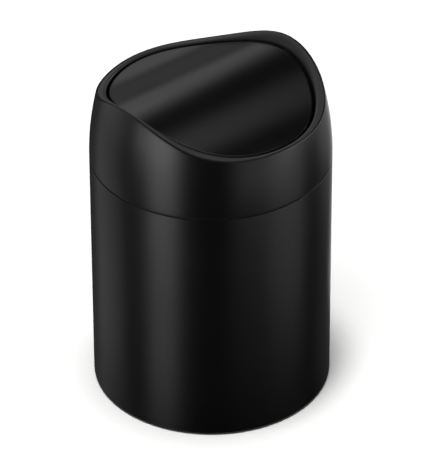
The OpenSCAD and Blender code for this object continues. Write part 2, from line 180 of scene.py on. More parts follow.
class Sketch:
    """Collects closed pieces of surface in millimetres and makes one mesh of them in metres."""

    def __init__(self) -> None:
        """Starts with nothing drawn."""
        self._points: list[np.ndarray] = []
        self._faces: list[list[int]] = []

    def shell(self, rings: np.ndarray, looped: bool = False) -> Sketch:
        """Adds one closed piece, skinned over rings of points.

        Args:
            rings: The rings' points, each ring closed round.
            looped: The last ring joins the first. Otherwise each end is closed, by a point where the ring
                has no size and by a flat face where it has one.

        Returns:
            The sketch itself.
        """
        points: list[np.ndarray] = []
        index: list[list[int]] = []
        for ring in np.asarray(rings, float):
            start = len(points)
            if np.ptp(ring, axis=0).max() < TINY:
                points.append(ring[0])
                index.append([start] * len(ring))
            else:
                points.extend(ring)
                index.append(list(range(start, start + len(ring))))
        faces: list[list[int]] = []
        count = len(index)
        for row in range(count if looped else count - 1):
            low, high = index[row], index[(row + 1) % count]
            for here in range(len(low)):
                there = (here + 1) % len(low)
                face = list(dict.fromkeys([low[here], low[there], high[there], high[here]]))
                if len(face) > 2:
                    faces.append(face)
        if not looped:
            faces += [ring for ring in (index[0][::-1], index[-1]) if ring[0] != ring[1]]
        self._add(np.array(points), faces)
        return self

    def turned(self, outline: np.ndarray, axis: Axis = Axis.Z, centre: tuple[float, float] = (0.0, 0.0),
               closed: bool = False, segments: int = ROUND) -> Sketch:
        """Adds a piece turned round an axis.

        Args:
            outline: The section's points, each as a radius and a place along the axis.
            axis: The direction of the axis.
            centre: Where the axis crosses the plane square to it.
            closed: The outline runs round and doesn't meet the axis.
            segments: The flats in one turn.

        Returns:
            The sketch itself.
        """
        turns = full_turn(segments)
        radius, along = outline[:, :1], outline[:, 1:]
        rings = axis.place(centre[0] + radius * np.cos(turns), centre[1] + radius * np.sin(turns), along)
        return self.shell(rings, looped=closed)

    def bar(self, radius: float, start: float, end: float, axis: Axis = Axis.Z,
            centre: tuple[float, float] = (0.0, 0.0), edge: float = 0.3,
            segments: int = SMALL_ROUND) -> Sketch:
        """Adds a round bar from start to end along its axis, with rounded ends."""
        corners = [(0, start, 0), (radius, start, edge), (radius, end, edge), (0, end, 0)]
        return self.turned(rounded(corners, closed=False), axis, centre, segments=segments)

    def block(self, low: Sequence[float], high: Sequence[float], axis: Axis = Axis.Z, corner: float = 0.5,
              edge: float = 0.3, stations: Sequence[float] = ()) -> Sketch:
        """Adds a block with rounded edges.

        Args:
            low: Its lowest corner.
            high: Its highest corner.
            axis: The direction that it is drawn along.
            corner: The radius of the edges along that direction.
            edge: The radius of the edges at its two ends.
            stations: Places between the ends where it has a ring of points, so that it can be bent.

        Returns:
            The sketch itself.
        """
        u, v, w = {Axis.X: (1, 2, 0), Axis.Y: (0, 2, 1), Axis.Z: (0, 1, 2)}[axis]
        half_u, half_v = (high[u] - low[u]) / 2, (high[v] - low[v]) / 2
        deep = min(2.5 * edge, 0.8 * min(half_u, half_v))
        ends = rounded([(deep, low[w], 0), (0, low[w], edge), (0, high[w], edge), (deep, high[w], 0)],
                       closed=False)
        middle = [(0.0, place) for place in stations]
        half = len(ends) // 2
        section = [*ends[:half], *middle, *ends[half:]]
        rings = []
        for inset, place in section:
            outline = plate_outline(half_u, half_v, corner, inset)
            rings.append(axis.place(low[u] + half_u + outline[:, 0], low[v] + half_v + outline[:, 1],
                                    np.array(place)))
        return self.shell(np.array(rings))

    def mesh(self, name: str) -> bpy.types.Mesh:
        """Makes one mesh, in metres, with smooth faces and sharp creases.

        Args:
            name: The mesh's name.

        Returns:
            The mesh.
        """
        made = bpy.data.meshes.new(name)
        made.from_pydata((np.concatenate(self._points) * MM).tolist(), [], self._faces)
        made.validate()
        smooth(made)
        return made

    def thing(self, name: str) -> bpy.types.Object:
        """Makes an object of the sketch and puts it in the scene."""
        return placed(name, self.mesh(name))

    def _add(self, points: np.ndarray, faces: list[list[int]]) -> None:
        """Keeps a closed piece, turned so that its faces point outwards.

        Args:
            points: The piece's points.
            faces: Its faces, as indices into the points.
        """
        volume = 0.0
        for face in faces:
            fan = points[face]
            volume += float(np.einsum("j,ij->", fan[0], np.cross(fan[1:-1], fan[2:])))
        start = sum(len(block) for block in self._points)
        turn = -1 if volume < 0 else 1
        self._points.append(points)
        self._faces += [[start + corner for corner in face[::turn]] for face in faces]


def smooth(mesh: bpy.types.Mesh) -> None:
    """Shades a mesh smooth, apart from its creases."""
    mesh.shade_smooth()
    mesh.set_sharp_from_angle(angle=CREASE)


def placed(name: str, data: bpy.types.ID) -> bpy.types.Object:
    """Makes an object and puts it in the scene.

    Args:
        name: The object's name.
        data: Its mesh, light or camera.

    Returns:
        The object.
    """
    made = bpy.data.objects.new(name, data)
    bpy.context.scene.collection.objects.link(made)
    return made


def linear(hex_colour: str) -> tuple[float, float, float, float]:
    """Turns an sRGB hex colour to the linear colour that shaders take.

    Args:
        hex_colour: The colour, such as "#1a1a1c".

    Returns:
        Red, green, blue and alpha.
    """
    values = [int(hex_colour[place:place + 2], 16) / 255 for place in (1, 3, 5)]
    red, green, blue = (v / 12.92 if v <= 0.04045 else ((v + 0.055) / 1.055) ** 2.4 for v in values)
    return red, green, blue, 1.0


def add_node(tree: bpy.types.NodeTree, kind: str, settings: dict[str, Any] | None = None,
             inputs: dict[str | int, Any] | None = None) -> bpy.types.Node:
    """Adds a node with its settings, values and links.

    Args:
        tree: The tree that gets the node.
        kind: The node's type.
        settings: The node's own properties.
        inputs: For an input's name or number, the socket to link from or the value to set.

    Returns:
        The node.
    """
    made = tree.nodes.new(kind)
    for name, value in (settings or {}).items():
        setattr(made, name, value)
    for name, value in (inputs or {}).items():
        if isinstance(value, bpy.types.NodeSocket):
            tree.links.new(value, made.inputs[name])
        else:
            made.inputs[name].default_value = value
    return made


class Grain(Enum):
    """The form of a finish's fine surface."""

    PEEL = "soft dimples of a coat that has flowed out"
    SPARK = "even grain of a spark-eroded mould"
    CELLS = "crystals or bubbles side by side"


@dataclass(frozen=True)
class Finish:
    """A surface as it was made.

    Attributes:
        name: The material's name.
        slot: The record's material slot; not used.
        colour: The colour, sRGB hex.
        shade: The colour that it drifts to in broad patches, sRGB hex.
        roughness: The mean roughness.
        uneven: How far the roughness drifts to each side.
        grain: The form of the fine surface.
        grain_mm: The size of one grain.
        relief_mm: The depth of the grain.
        stretch: How many times finer the grain is along X, Y and Z.
        drift_mm: The size of the broad patches.
        metallic: 1 for bare metal.
        ior: The index of refraction.
        coat: The weight of a clear top coat.
    """

    name: str
    slot: str
    colour: str
    shade: str
    roughness: float
    uneven: float = 0.02
    grain: Grain = Grain.SPARK
    grain_mm: float = 0.6
    relief_mm: float = 0.004
    stretch: tuple[float, float, float] = (1.0, 1.0, 1.0)
    drift_mm: float = 30.0
    metallic: float = 0.0
    ior: float = 1.5
    coat: float = 0.0

    def material(self) -> bpy.types.Material:
        """Makes the material, or finds it where it is made already.

        Returns:
            The material.
        """
        made = bpy.data.materials.get(self.name)
        if made:
            return made
        made = bpy.data.materials.new(self.name)
        made.use_nodes = True
        tree = made.node_tree
        tree.nodes.clear()
        place = add_node(tree, "ShaderNodeTexCoord").outputs["Object"]
        mapped = add_node(tree, "ShaderNodeMapping", inputs={"Vector": place, "Scale": self.stretch})
        broad = add_node(tree, "ShaderNodeTexNoise", inputs={
            "Vector": place, "Scale": 1 / (self.drift_mm * MM), "Detail": 2.0, "Roughness": 0.5})
        rough = add_node(tree, "ShaderNodeMapRange", inputs={
            "Value": broad.outputs["Fac"], "From Min": NOISE_LOW, "From Max": NOISE_HIGH,
            "To Min": self.roughness - self.uneven, "To Max": self.roughness + self.uneven})
        tint = add_node(tree, "ShaderNodeMix", {"data_type": "RGBA"}, {
            "Factor": broad.outputs["Fac"], "A": linear(self.colour), "B": linear(self.shade)})
        bump = add_node(tree, "ShaderNodeBump", inputs={
            "Height": self._fine(tree, mapped.outputs["Vector"]), "Strength": 1.0,
            "Distance": self.relief_mm * MM})
        shader = add_node(tree, "ShaderNodeBsdfPrincipled", inputs={
            "Base Color": tint.outputs["Result"], "Roughness": rough.outputs["Result"],
            "Normal": bump.outputs["Normal"], "Metallic": self.metallic, "IOR": self.ior,
            "Coat Weight": self.coat})
        add_node(tree, "ShaderNodeOutputMaterial", inputs={"Surface": shader.outputs["BSDF"]})
        return made

    def _fine(self, tree: bpy.types.NodeTree, vector: bpy.types.NodeSocket) -> bpy.types.NodeSocket:
        """Adds the texture of the fine surface.

        Args:
            tree: The material's tree.
            vector: The mapped coordinates.

        Returns:
            The socket that gives its height.
        """
        scale = 1 / (self.grain_mm * MM)
        if self.grain is Grain.CELLS:
            cells = add_node(tree, "ShaderNodeTexVoronoi", inputs={"Vector": vector, "Scale": scale})
            return cells.outputs["Distance"]
        detail = 1.0 if self.grain is Grain.PEEL else 4.0
        noise = add_node(tree, "ShaderNodeTexNoise", inputs={
            "Vector": vector, "Scale": scale, "Detail": detail})
        return noise.outputs["Fac"]


# Polyester powder coat on steel, baked on: satin black, deep, with very shallow peel of about 1.5 mm
BODY_COAT = Finish("satin_powder_coat", "coated_steel", "#060607", "#080809", 0.33, 0.012,
                   Grain.PEEL, 1.5, 0.0012)
# The same coat on the pressed flap, glossier and with a little finer peel
FLAP_COAT = Finish("satin_powder_coat_flap", "flap_steel", "#060607", "#080809", 0.22, 0.012,
                   Grain.PEEL, 1.2, 0.001)
# ABS from a spark-eroded mould: soft dark grey sheen; the grain of about 0.1 mm is drawn 0.4 mm wide to show
BLACK_ABS = Finish("moulded_black_abs", "black_moulding", "#242425", "#29292a", 0.42, 0.03,
                   Grain.SPARK, 0.4, 0.004)
# The neck ring's ABS is the frame's black moulding, drawn far darker and rougher as painted shade of the
# seam: only its lip shows, deep in the seam, so it reads as a black line
NECK_ABS_PAINTED_SHADE = Finish("moulded_black_abs_neck_painted_shade", "black_moulding", "#070707", "#0a0a0a", 0.6, 0.03,
                  Grain.SPARK, 0.4, 0.004)
# Polypropylene straight from the mould: matt, slightly waxy, with broad flow shading
DARK_PP = Finish("moulded_dark_polypropylene", "dark_moulding", "#262627", "#2c2c2d", 0.52, 0.05,
                 Grain.SPARK, 0.5, 0.005, ior=1.49)
# Thermoplastic elastomer: dull, with hardly any highlight
PAD_RUBBER = Finish("soft_elastomer", "pad_rubber", "#202022", "#272729", 0.82, 0.05, Grain.SPARK, 0.5, 0.01,
                    ior=1.45)
# Hot-dip galvanised sheet: dull grey zinc, half of it chalky, with spangle crystals of about 5 mm
PAN_STEEL = Finish("galvanised_sheet", "pan_steel", "#8d9092", "#a9acae", 0.45, 0.1, Grain.CELLS, 5.0, 0.01,
                   drift_mm=6.0, metallic=0.5)
# Zinc-plated screws: bright, slightly blue, fine plating grain
SCREW_ZINC = Finish("bright_zinc_plate", "screw_steel", "#b4b8bd", "#c6c8c4", 0.3, 0.05,
                    Grain.SPARK, 0.25, 0.003, drift_mm=3.0, metallic=1.0)
# Ground steel pins: fine grinding lines round the pin, so the grain is stretched across the axis
PIN_STEEL = Finish("ground_steel", "pin_steel", "#aeb0b3", "#9c9ea2", 0.24, 0.04, Grain.SPARK, 0.8, 0.003,
                   stretch=(8.0, 1.0, 1.0), drift_mm=4.0, metallic=1.0)
# Acetal bushes, filled black: close and slightly waxy
BUSH_ACETAL = Finish("black_acetal", "bush_acetal", "#0d0d0e", "#121213", 0.42, 0.03, Grain.SPARK, 0.4, 0.002,
                     ior=1.48)
# Sawn mild steel bar with its mill scale: dark, patchy, with saw lines across its length
BAR_STEEL = Finish("mill_scale_steel", "bar_steel", "#4a4b4e", "#6a6763", 0.5, 0.14, Grain.SPARK, 1.2, 0.02,
                   stretch=(4.0, 1.0, 1.0), drift_mm=5.0, metallic=1.0)
# Closed-cell foam tape: dead black, tiny open bubbles at its cut edge
FOAM_TAPE = Finish("foam_tape", "bond", "#0a0a0a", "#101010", 0.95, 0.03, Grain.CELLS, 0.4, 0.03)


def hand_over(thing: bpy.types.Object, finish: Finish, body: str, *nodes: str) -> bpy.types.Object:
    """Gives a piece its finish and its body, and says which CAD nodes it stands for.

    Args:
        thing: The piece, in place.
        finish: Its finish.
        body: The CAD body that it rides on.
        nodes: The CAD nodes that it stands for.

    Returns:
        The piece.
    """
    thing.data.materials.clear()
    thing.data.materials.append(finish.material())
    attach(thing, body)
    if nodes:
        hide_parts(*nodes)
    LOG.info("%s: %d faces, rides on %s", thing.name, len(thing.data.polygons), body)
    return thing


def joined(name: str, things: Sequence[bpy.types.Object]) -> bpy.types.Object:
    """Joins several objects' meshes in one new object and removes them.

    Args:
        name: The new object's name.
        things: The objects, all with their places in their meshes.

    Returns:
        The new object.
    """
    work = bmesh.new()
    for thing in things:
        work.from_mesh(thing.data)
        bpy.data.objects.remove(thing)
    mesh = bpy.data.meshes.new(name)
    work.to_mesh(mesh)
    work.free()
    smooth(mesh)
    return placed(name, mesh)


class Rule:
    """A Geometry Nodes tree with named inputs, and what runs it on a template."""

    def __init__(self, name: str, inputs: dict[str, str]) -> None:
        """Starts the tree with its sockets.

        Args:
            name: The tree's name.
            inputs: For each input's name, its socket type.
        """
        self.tree = bpy.data.node_groups.new(name, "GeometryNodeTree")
        self.tree.is_modifier = True
        sockets = self.tree.interface
        sockets.new_socket("Geometry", in_out="INPUT", socket_type="NodeSocketGeometry")
        for title, kind in inputs.items():
            sockets.new_socket(title, in_out="INPUT", socket_type=kind)
        sockets.new_socket("Geometry", in_out="OUTPUT", socket_type="NodeSocketGeometry")
        self.given = add_node(self.tree, "NodeGroupInput").outputs

    def step(self, kind: str, inputs: dict[str | int, Any] | None = None) -> bpy.types.NodeSocket:
        """Adds a node and gives its first output."""
        return add_node(self.tree, kind, inputs=inputs).outputs[0]

    def maths(self, operation: str, *values: Any) -> bpy.types.NodeSocket:
        """Adds one step of arithmetic with sockets or numbers and gives the result's socket."""
        made = add_node(self.tree, "ShaderNodeMath", {"operation": operation}, dict(enumerate(values)))
        return made.outputs[0]

    def point(self) -> bpy.types.NodeOutputs:
        """The outputs that give a point's X, Y and Z."""
        return add_node(self.tree, "ShaderNodeSeparateXYZ", inputs={
            0: self.step("GeometryNodeInputPosition")}).outputs

    def copies(self, **places: bpy.types.NodeSocket) -> bpy.types.NodeSocket:
        """Sets copies of the template on new points.

        Args:
            places: The sockets for the points' Position and, where the copies turn, for their Rotation.

        Returns:
            The socket that gives the copies.
        """
        points = self.step("GeometryNodePoints", {
            "Count": self.given["Count"], "Position": places.pop("Position")})
        return self.step("GeometryNodeInstanceOnPoints", {
            "Points": points, "Instance": self.given["Geometry"], **places})

    def close(self, geometry: bpy.types.NodeSocket) -> None:
        """Ends the tree with real geometry in its material.

        Args:
            geometry: The socket that gives the geometry.
        """
        real = self.step("GeometryNodeRealizeInstances", {"Geometry": geometry})
        dressed = self.step("GeometryNodeSetMaterial", {"Geometry": real, "Material": self.given["Material"]})
        add_node(self.tree, "NodeGroupOutput", inputs={"Geometry": dressed})

    def run(self, name: str, template: bpy.types.Object, values: dict[str, Any]) -> bpy.types.Object:
        """Runs the tree on a template and turns the result into a plain mesh.

        Args:
            name: The new object's name.
            template: The object that the tree works on, which is removed.
            values: The inputs' values by name.

        Returns:
            The new object, without a modifier.
        """
        modifier = template.modifiers.new(self.tree.name, "NODES")
        modifier.node_group = self.tree
        for item in self.tree.interface.items_tree:
            if item.in_out == "INPUT" and item.name in values:
                modifier[item.identifier] = values[item.name]
        bpy.context.view_layer.update()
        shown = template.evaluated_get(bpy.context.evaluated_depsgraph_get())
        mesh = bpy.data.meshes.new_from_object(shown)
        bpy.data.objects.remove(template)
        mesh.name = name
        smooth(mesh)
        return placed(name, mesh)


class WaveRule(Rule):
    """Lifts a flat template by the wave: highest over the ridge, lowest at the front and the back."""

    def __init__(self) -> None:
        """Builds the tree."""
        super().__init__("lift_by_wave", {
            "Low": "NodeSocketFloat", "Rise": "NodeSocketFloat", "Half Width": "NodeSocketFloat",
            "Material": "NodeSocketMaterial"})
        offset = self.step("ShaderNodeCombineXYZ", {"Z": self.wave(self.point()["Y"])})
        self.close(self.step("GeometryNodeSetPosition", {
            "Geometry": self.given["Geometry"], "Offset": offset}))

    def wave(self, y: bpy.types.NodeSocket) -> bpy.types.NodeSocket:
        """Adds the wave's formula.

        Args:
            y: The distance from the ridge.

        Returns:
            The wave's height.
        """
        distance = self.maths("DIVIDE", self.maths("ABSOLUTE", y), self.given["Half Width"])
        share = self.maths("MINIMUM", distance, 1.0)
        swell = self.maths("ADD", self.maths("COSINE", self.maths("MULTIPLY", share, math.pi)), 1.0)
        half_rise = self.maths("MULTIPLY", self.given["Rise"], 0.5)
        return self.maths("ADD", self.given["Low"], self.maths("MULTIPLY", swell, half_rise))


class RingRule(Rule):
    """Sets copies of the template evenly on a circle round Z, each with its X axis pointing outwards."""

    def __init__(self) -> None:
        """Builds the tree."""
        super().__init__("ring_of_copies", {
            "Count": "NodeSocketInt", "Radius": "NodeSocketFloat", "Start": "NodeSocketFloat",
            "Material": "NodeSocketMaterial"})
        index = self.step("GeometryNodeInputIndex")
        between = self.maths("DIVIDE", TURN, self.given["Count"])
        angle = self.maths("ADD", self.given["Start"], self.maths("MULTIPLY", index, between))
        spot = self.step("ShaderNodeCombineXYZ", {
            "X": self.maths("MULTIPLY", self.given["Radius"], self.maths("COSINE", angle)),
            "Y": self.maths("MULTIPLY", self.given["Radius"], self.maths("SINE", angle))})
        euler = self.step("ShaderNodeCombineXYZ", {"Z": angle})
        facing = self.step("FunctionNodeEulerToRotation", {0: euler})
        self.close(self.copies(Position=spot, Rotation=facing))

    def hand_over_set(self, name: str, template: bpy.types.Object, finish: Finish, body: str, node: str,
                      count: int, radius: float, start: float) -> None:
        """Sets copies round Z as one piece and hands it over.

        Args:
            name: The piece's name.
            template: One copy, whose X axis will point outwards. It is removed.
            finish: The finish of the copies.
            body: The CAD body that they ride on.
            node: The CAD node that they stand for.
            count: The number of copies.
            radius: The circle's radius, in millimetres.
            start: The direction of the first copy, in radians.
        """
        made = self.run(name, template, {
            "Count": count, "Radius": radius * MM, "Start": start, "Material": finish.material()})
        hand_over(made, finish, body, node)


class RibRule(Rule):
    """Sets rib blanks side by side and stretches each to the oval edge that it meets.

    A blank runs from 1 m to 2 m on each side of the ridge.
    """

    def __init__(self) -> None:
        """Builds the tree."""
        super().__init__("rib_row", {
            "Count": "NodeSocketInt", "Pitch": "NodeSocketFloat", "Inner": "NodeSocketFloat",
            "Oval A": "NodeSocketFloat", "Oval B": "NodeSocketFloat", "Material": "NodeSocketMaterial"})
        index = self.step("GeometryNodeInputIndex")
        middle = self.maths("DIVIDE", self.maths("SUBTRACT", self.given["Count"], 1.0), 2.0)
        spot = self.step("ShaderNodeCombineXYZ", {
            "X": self.maths("MULTIPLY", self.maths("SUBTRACT", index, middle), self.given["Pitch"])})
        row = self.step("GeometryNodeRealizeInstances", {"Geometry": self.copies(Position=spot)})
        point = self.point()
        share = self.maths("DIVIDE", point["X"], self.given["Oval A"])
        under = self.maths("SUBTRACT", 1.0, self.maths("MULTIPLY", share, share))
        edge = self.maths("MULTIPLY", self.given["Oval B"], self.maths("SQRT", under))
        along = self.maths("SUBTRACT", self.maths("ABSOLUTE", point["Y"]), 1.0)
        length = self.maths("SUBTRACT", edge, self.given["Inner"])
        reach = self.maths("ADD", self.given["Inner"], self.maths("MULTIPLY", along, length))
        fitted = self.step("ShaderNodeCombineXYZ", {
            "X": point["X"], "Z": point["Z"],
            "Y": self.maths("MULTIPLY", reach, self.maths("SIGN", point["Y"]))})
        self.close(self.step("GeometryNodeSetPosition", {"Geometry": row, "Position": fitted}))


@dataclass(frozen=True)
class CanForm:
    """The rules that the round and the waved surfaces of the can follow, in millimetres.

    Attributes:
        body_r: Radius of the body.
        shell_low: Lower edge of the shell.
        shell_top: Upper edge of the shell.
        seat_z: Level that the collar rests on.
        ridge_z: Top of the rim at the ends of the ridge.
        flap_top: Top of the flap's ridge.
        flap_a: Half the flap's length along the ridge.
        flap_b: Half the flap's length across the ridge.
        arc_r: Radius of the arc that draws the collar in.
        rim_drop: How far the rim dips from the ridge to its low sides.
        valley_inset: Distance from the body's side to the line where the rim is lowest.
        recess_sides: How far the flap's low sides lie below the rim's.
        flap_gap: Gap between flap and rim.
    """

    body_r: float
    shell_low: float
    shell_top: float
    seat_z: float
    ridge_z: float
    flap_top: float
    flap_a: float
    flap_b: float
    arc_r: float = 156.0
    rim_drop: float = 15.8
    valley_inset: float = 4.5
    recess_sides: float = 0.8
    flap_gap: float = 1.3

    @classmethod
    def from_frame(cls) -> CanForm:
        """Reads the levels and radii that the CAD nodes give.

        Returns:
            The can's form.
        """
        shell_lo, shell_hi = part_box("body_shell")
        skin_lo, skin_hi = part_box("collar_skin")
        _, flap_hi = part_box("flap_skin")
        return cls(body_r=shell_hi.x / MM, shell_low=shell_lo.z / MM, shell_top=shell_hi.z / MM,
                   seat_z=skin_lo.z / MM, ridge_z=skin_hi.z / MM, flap_top=flap_hi.z / MM,
                   flap_a=flap_hi.x / MM, flap_b=flap_hi.y / MM)

    @property
    def seam_z(self) -> float:
        """Middle of the seam."""
        return (self.shell_top + self.seat_z) / 2

    @property
    def half_w(self) -> float:
        """Distance from the ridge to where the rim is lowest."""
        return self.body_r - self.valley_inset

    @property
    def valley_z(self) -> float:
        """Top of the rim at its low sides."""
        return self.ridge_z - self.rim_drop

    @property
    def flap_low(self) -> float:
        """Top of the flap at its low sides."""
        return self.valley_z - self.recess_sides

    @property
    def open_a(self) -> float:
        """Half the opening's length along the ridge."""
        return self.flap_a + self.flap_gap

    @property
    def open_b(self) -> float:
        """Half the opening's length across the ridge."""
        return self.flap_b + self.flap_gap

    def collar_r(self, z: np.ndarray | float) -> np.ndarray:
        """Outside radius of the collar at a height."""
        return self.body_r - self.arc_r + np.sqrt(self.arc_r ** 2 - (z - self.seam_z) ** 2)

    def swell(self, y: np.ndarray) -> np.ndarray:
        """The wave's share of its full rise: 1 over the ridge, 0 where the rim is lowest and beyond."""
        return (1 + np.cos(math.pi * np.minimum(np.abs(y) / self.half_w, 1.0))) / 2

    def rim_z(self, y: np.ndarray) -> np.ndarray:
        """Height of the rim's wave at a distance from the ridge."""
        return self.valley_z + self.rim_drop * self.swell(y)

    def flap_z(self, y: np.ndarray) -> np.ndarray:
        """Height of the flap's wave at a distance from the ridge."""
        return self.flap_low + (self.flap_top - self.flap_low) * self.swell(y)

    def rim_edge(self, turns: np.ndarray, inset: float) -> np.ndarray:
        """Height where a wall, set in from the collar's outside, meets the rim's wave.

        Args:
            turns: The directions round Z.
            inset: How far the wall is set in.

        Returns:
            The height in each direction.
        """
        height = np.full_like(turns, self.valley_z)
        rounds_to_settle = 12
        for _ in range(rounds_to_settle):
            height = self.rim_z((self.collar_r(height) - inset) * np.sin(turns))
        return height

    def oval_r(self, turns: np.ndarray, half_a: float, half_b: float) -> np.ndarray:
        """Distance from the middle to the edge of an oval, half_a long along X and half_b along Y."""
        return half_a * half_b / np.hypot(half_b * np.cos(turns), half_a * np.sin(turns))

    def wave_values(self, finish: Finish) -> dict[str, Any]:
        """The wave rule's inputs for a piece of the flap, in metres."""
        return {"Low": self.flap_low * MM, "Rise": (self.flap_top - self.flap_low) * MM,
                "Half Width": self.half_w * MM, "Material": finish.material()}


@dataclass
class Body:
    """The lower can: shell, neck ring, floor, base cap and pads.

    Attributes:
        form: The can's form.
        ring: The rule that sets copies round Z.
        shell_t: Thickness of the shell's sheet.
        hem: Radius of the shell's rolled-over cut edges.
        neck_t: Wall of the neck ring.
        neck_depth: How deep the neck ring goes in the shell.
        lip_set_back: How far its lip lies inside the body's side.
        seam_ease: How far the shell's turned edge lies under the height that it was cut to.
        floor_t: Thickness of the floor pan's sheet.
        base_t: Plate thickness of the base cap.
        base_rim_t: Wall of the base cap's rim.
        base_lip_t: Thickness of its lip.
        dish_r: Radius of the shallow dish in the underside.
        dish_depth: Depth of that dish.
        pad_r: Radius of a foot pad.
        pad_inset: Distance from the body's side to the middle of a pad.
        fit: Clearance of pressed pieces.
    """

    form: CanForm
    ring: RingRule
    shell_t: float = 0.5
    hem: float = 0.2
    neck_t: float = 1.9
    neck_depth: float = 11.0
    lip_set_back: float = 0.42
    seam_ease: float = 0.12
    floor_t: float = 0.6
    base_t: float = 2.0
    base_rim_t: float = 1.6
    base_lip_t: float = 1.2
    dish_r: float = 42.0
    dish_depth: float = 0.6
    pad_r: float = 6.0
    pad_inset: float = 11.0
    fit: float = 0.05
    name: str = field(default="can", init=False)

    def build(self) -> None:
        """Builds every piece of the lower can."""
        self.shell()
        self.neck_ring()
        self.floor_pan()
        self.base_cap()
        self.foot_pads()

    def shell(self) -> None:
        """Rolled steel tube with softened edges."""
        outer, inner = self.form.body_r, self.form.body_r - self.shell_t
        low, top = self.form.shell_low, self.form.shell_top - self.seam_ease
        section = ((outer, low), (outer, top), (inner, top), (inner, low))
        outline = rounded([(radius, height, self.hem) for radius, height in section])
        sketch = Sketch().turned(outline, closed=True)
        hand_over(sketch.thing("shell_tube"), BODY_COAT, self.name, "body_shell")

    def neck_ring(self) -> None:
        """Moulded ring in the shell's neck, whose lip shows as the dark seam; its finish is darkened as
        painted shade of the seam.
        """
        outer = self.form.body_r - self.shell_t - self.fit
        lip, inner = self.form.body_r - self.lip_set_back, outer - self.neck_t
        low, seat = self.form.shell_top - self.neck_depth, self.form.seat_z
        top = self.form.shell_top - self.seam_ease
        outline = rounded([(inner, low, 0.5), (outer, low, 0.5), (outer, top, 0), (lip, top, 0.08),
                           (lip, seat, 0.15), (inner, seat, 0.6)])
        sketch = Sketch().turned(outline, closed=True)
        hand_over(sketch.thing("neck_ring_moulding"), NECK_ABS_PAINTED_SHADE, self.name, "neck_ring")

    def floor_pan(self) -> None:
        """Pressed floor with its flange bent down round the rim of the base cap."""
        node_lo, node_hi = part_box("floor_pan")
        radius, low, top = node_hi.x / MM, node_lo.z / MM, node_hi.z / MM
        under, inner, bend = top - self.floor_t, radius - self.floor_t, 1.0
        outline = rounded([(0, under, 0), (inner, under, bend - self.floor_t), (inner, low, 0.1),
                           (radius, low, 0.2), (radius, top, bend), (0, top, 0)], closed=False)
        hand_over(Sketch().turned(outline).thing("pressed_floor"), PAN_STEEL, self.name, "floor_pan")

    def base_cap(self) -> None:
        """Moulded cap under the floor, with a shallow dish in its underside and a raised rim on top."""
        node_lo, node_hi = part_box("base_cap")
        radius, low, top = node_hi.x / MM, node_lo.z / MM, node_hi.z / MM
        rim_out = radius - self.floor_t - self.fit
        rim_in, lip_top, plate_top = rim_out - self.base_rim_t, low + self.base_lip_t, low + self.base_t
        dish = low + self.dish_depth
        outline = rounded([
            (0, dish, 0), (self.dish_r - 0.6, dish, 0.4), (self.dish_r, low, 0.4), (radius, low, 0.5),
            (radius, lip_top, 0.15), (rim_out, lip_top, 0), (rim_out, top, 0.4), (rim_in, top, 0.4),
            (rim_in, plate_top, 0.5), (0, plate_top, 0)], closed=False)
        hand_over(Sketch().turned(outline).thing("base_cap_moulding"), DARK_PP, self.name, "base_cap")

    def foot_pads(self) -> None:
        """Four soft pads, each with a round groove in its face and a rounded edge."""
        _, node_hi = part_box("foot_pads")
        top, radius, deep = node_hi.z / MM, self.pad_r, 0.25
        outline = rounded([
            (0, 0, 0), (radius * 0.45, 0, 0.1), (radius * 0.5, deep, 0.1), (radius * 0.6, deep, 0.1),
            (radius * 0.65, 0, 0.1), (radius, 0, 0.35), (radius, top, 0.1), (0, top, 0)],
            closed=False, steps=3)
        template = Sketch().turned(outline, segments=SMALL_ROUND).thing("pad_template")
        self.ring.hand_over_set("foot_pad_set", template, PAD_RUBBER, self.name, "foot_pads", count=4,
                                radius=self.form.body_r - self.pad_inset, start=math.pi / 4)


@dataclass
class Screw:
    """A pan-head screw with a cross recess.

    Attributes:
        head_r: Radius of the head.
        head_h: Height of the head.
        shank_r: Radius of the shank.
        recess_l: Length of half a recess arm.
        recess_w: Half the width of a recess arm.
        recess_d: Depth of the recess.
    """

    head_r: float = 2.8
    head_h: float = 1.8
    shank_r: float = 1.5
    recess_l: float = 1.5
    recess_w: float = 0.38
    recess_d: float = 1.1

    def template(self, bearing_z: float, length: float) -> bpy.types.Object:
        """Makes one screw whose head bears upwards and whose shank points up.

        Args:
            bearing_z: The level of the face that the head bears on.
            length: The shank's length above that level.

        Returns:
            The screw, standing on the Z axis.
        """
        turns = full_turn(SMALL_ROUND)
        folded = np.abs((turns + math.pi / 4) % (math.pi / 2) - math.pi / 4)
        on_end = np.tan(folded) * self.recess_l < self.recess_w
        cross = np.where(on_end, self.recess_l / np.cos(folded),
                         self.recess_w / np.maximum(np.sin(folded), TINY))
        under = bearing_z - self.head_h
        deep = under + self.recess_d
        rows: list[tuple[np.ndarray, float]] = [
            (0 * cross, deep), (cross * 0.55, deep), (cross * 0.95, under + 0.12), (cross, under + 0.05)]
        dome = rounded([(self.recess_l * 1.25, under, 0), (self.head_r, under + 0.15, 0.9),
                        (self.head_r, bearing_z, 0.1), (self.shank_r, bearing_z, 0),
                        (self.shank_r, bearing_z + length, 0.3), (0, bearing_z + length, 0)], closed=False)
        rows += [(np.full_like(turns, radius), height) for radius, height in dome]
        rings = [ring_at(turns, radius, height) for radius, height in rows]
        return Sketch().shell(np.array(rings)).thing("screw_template")


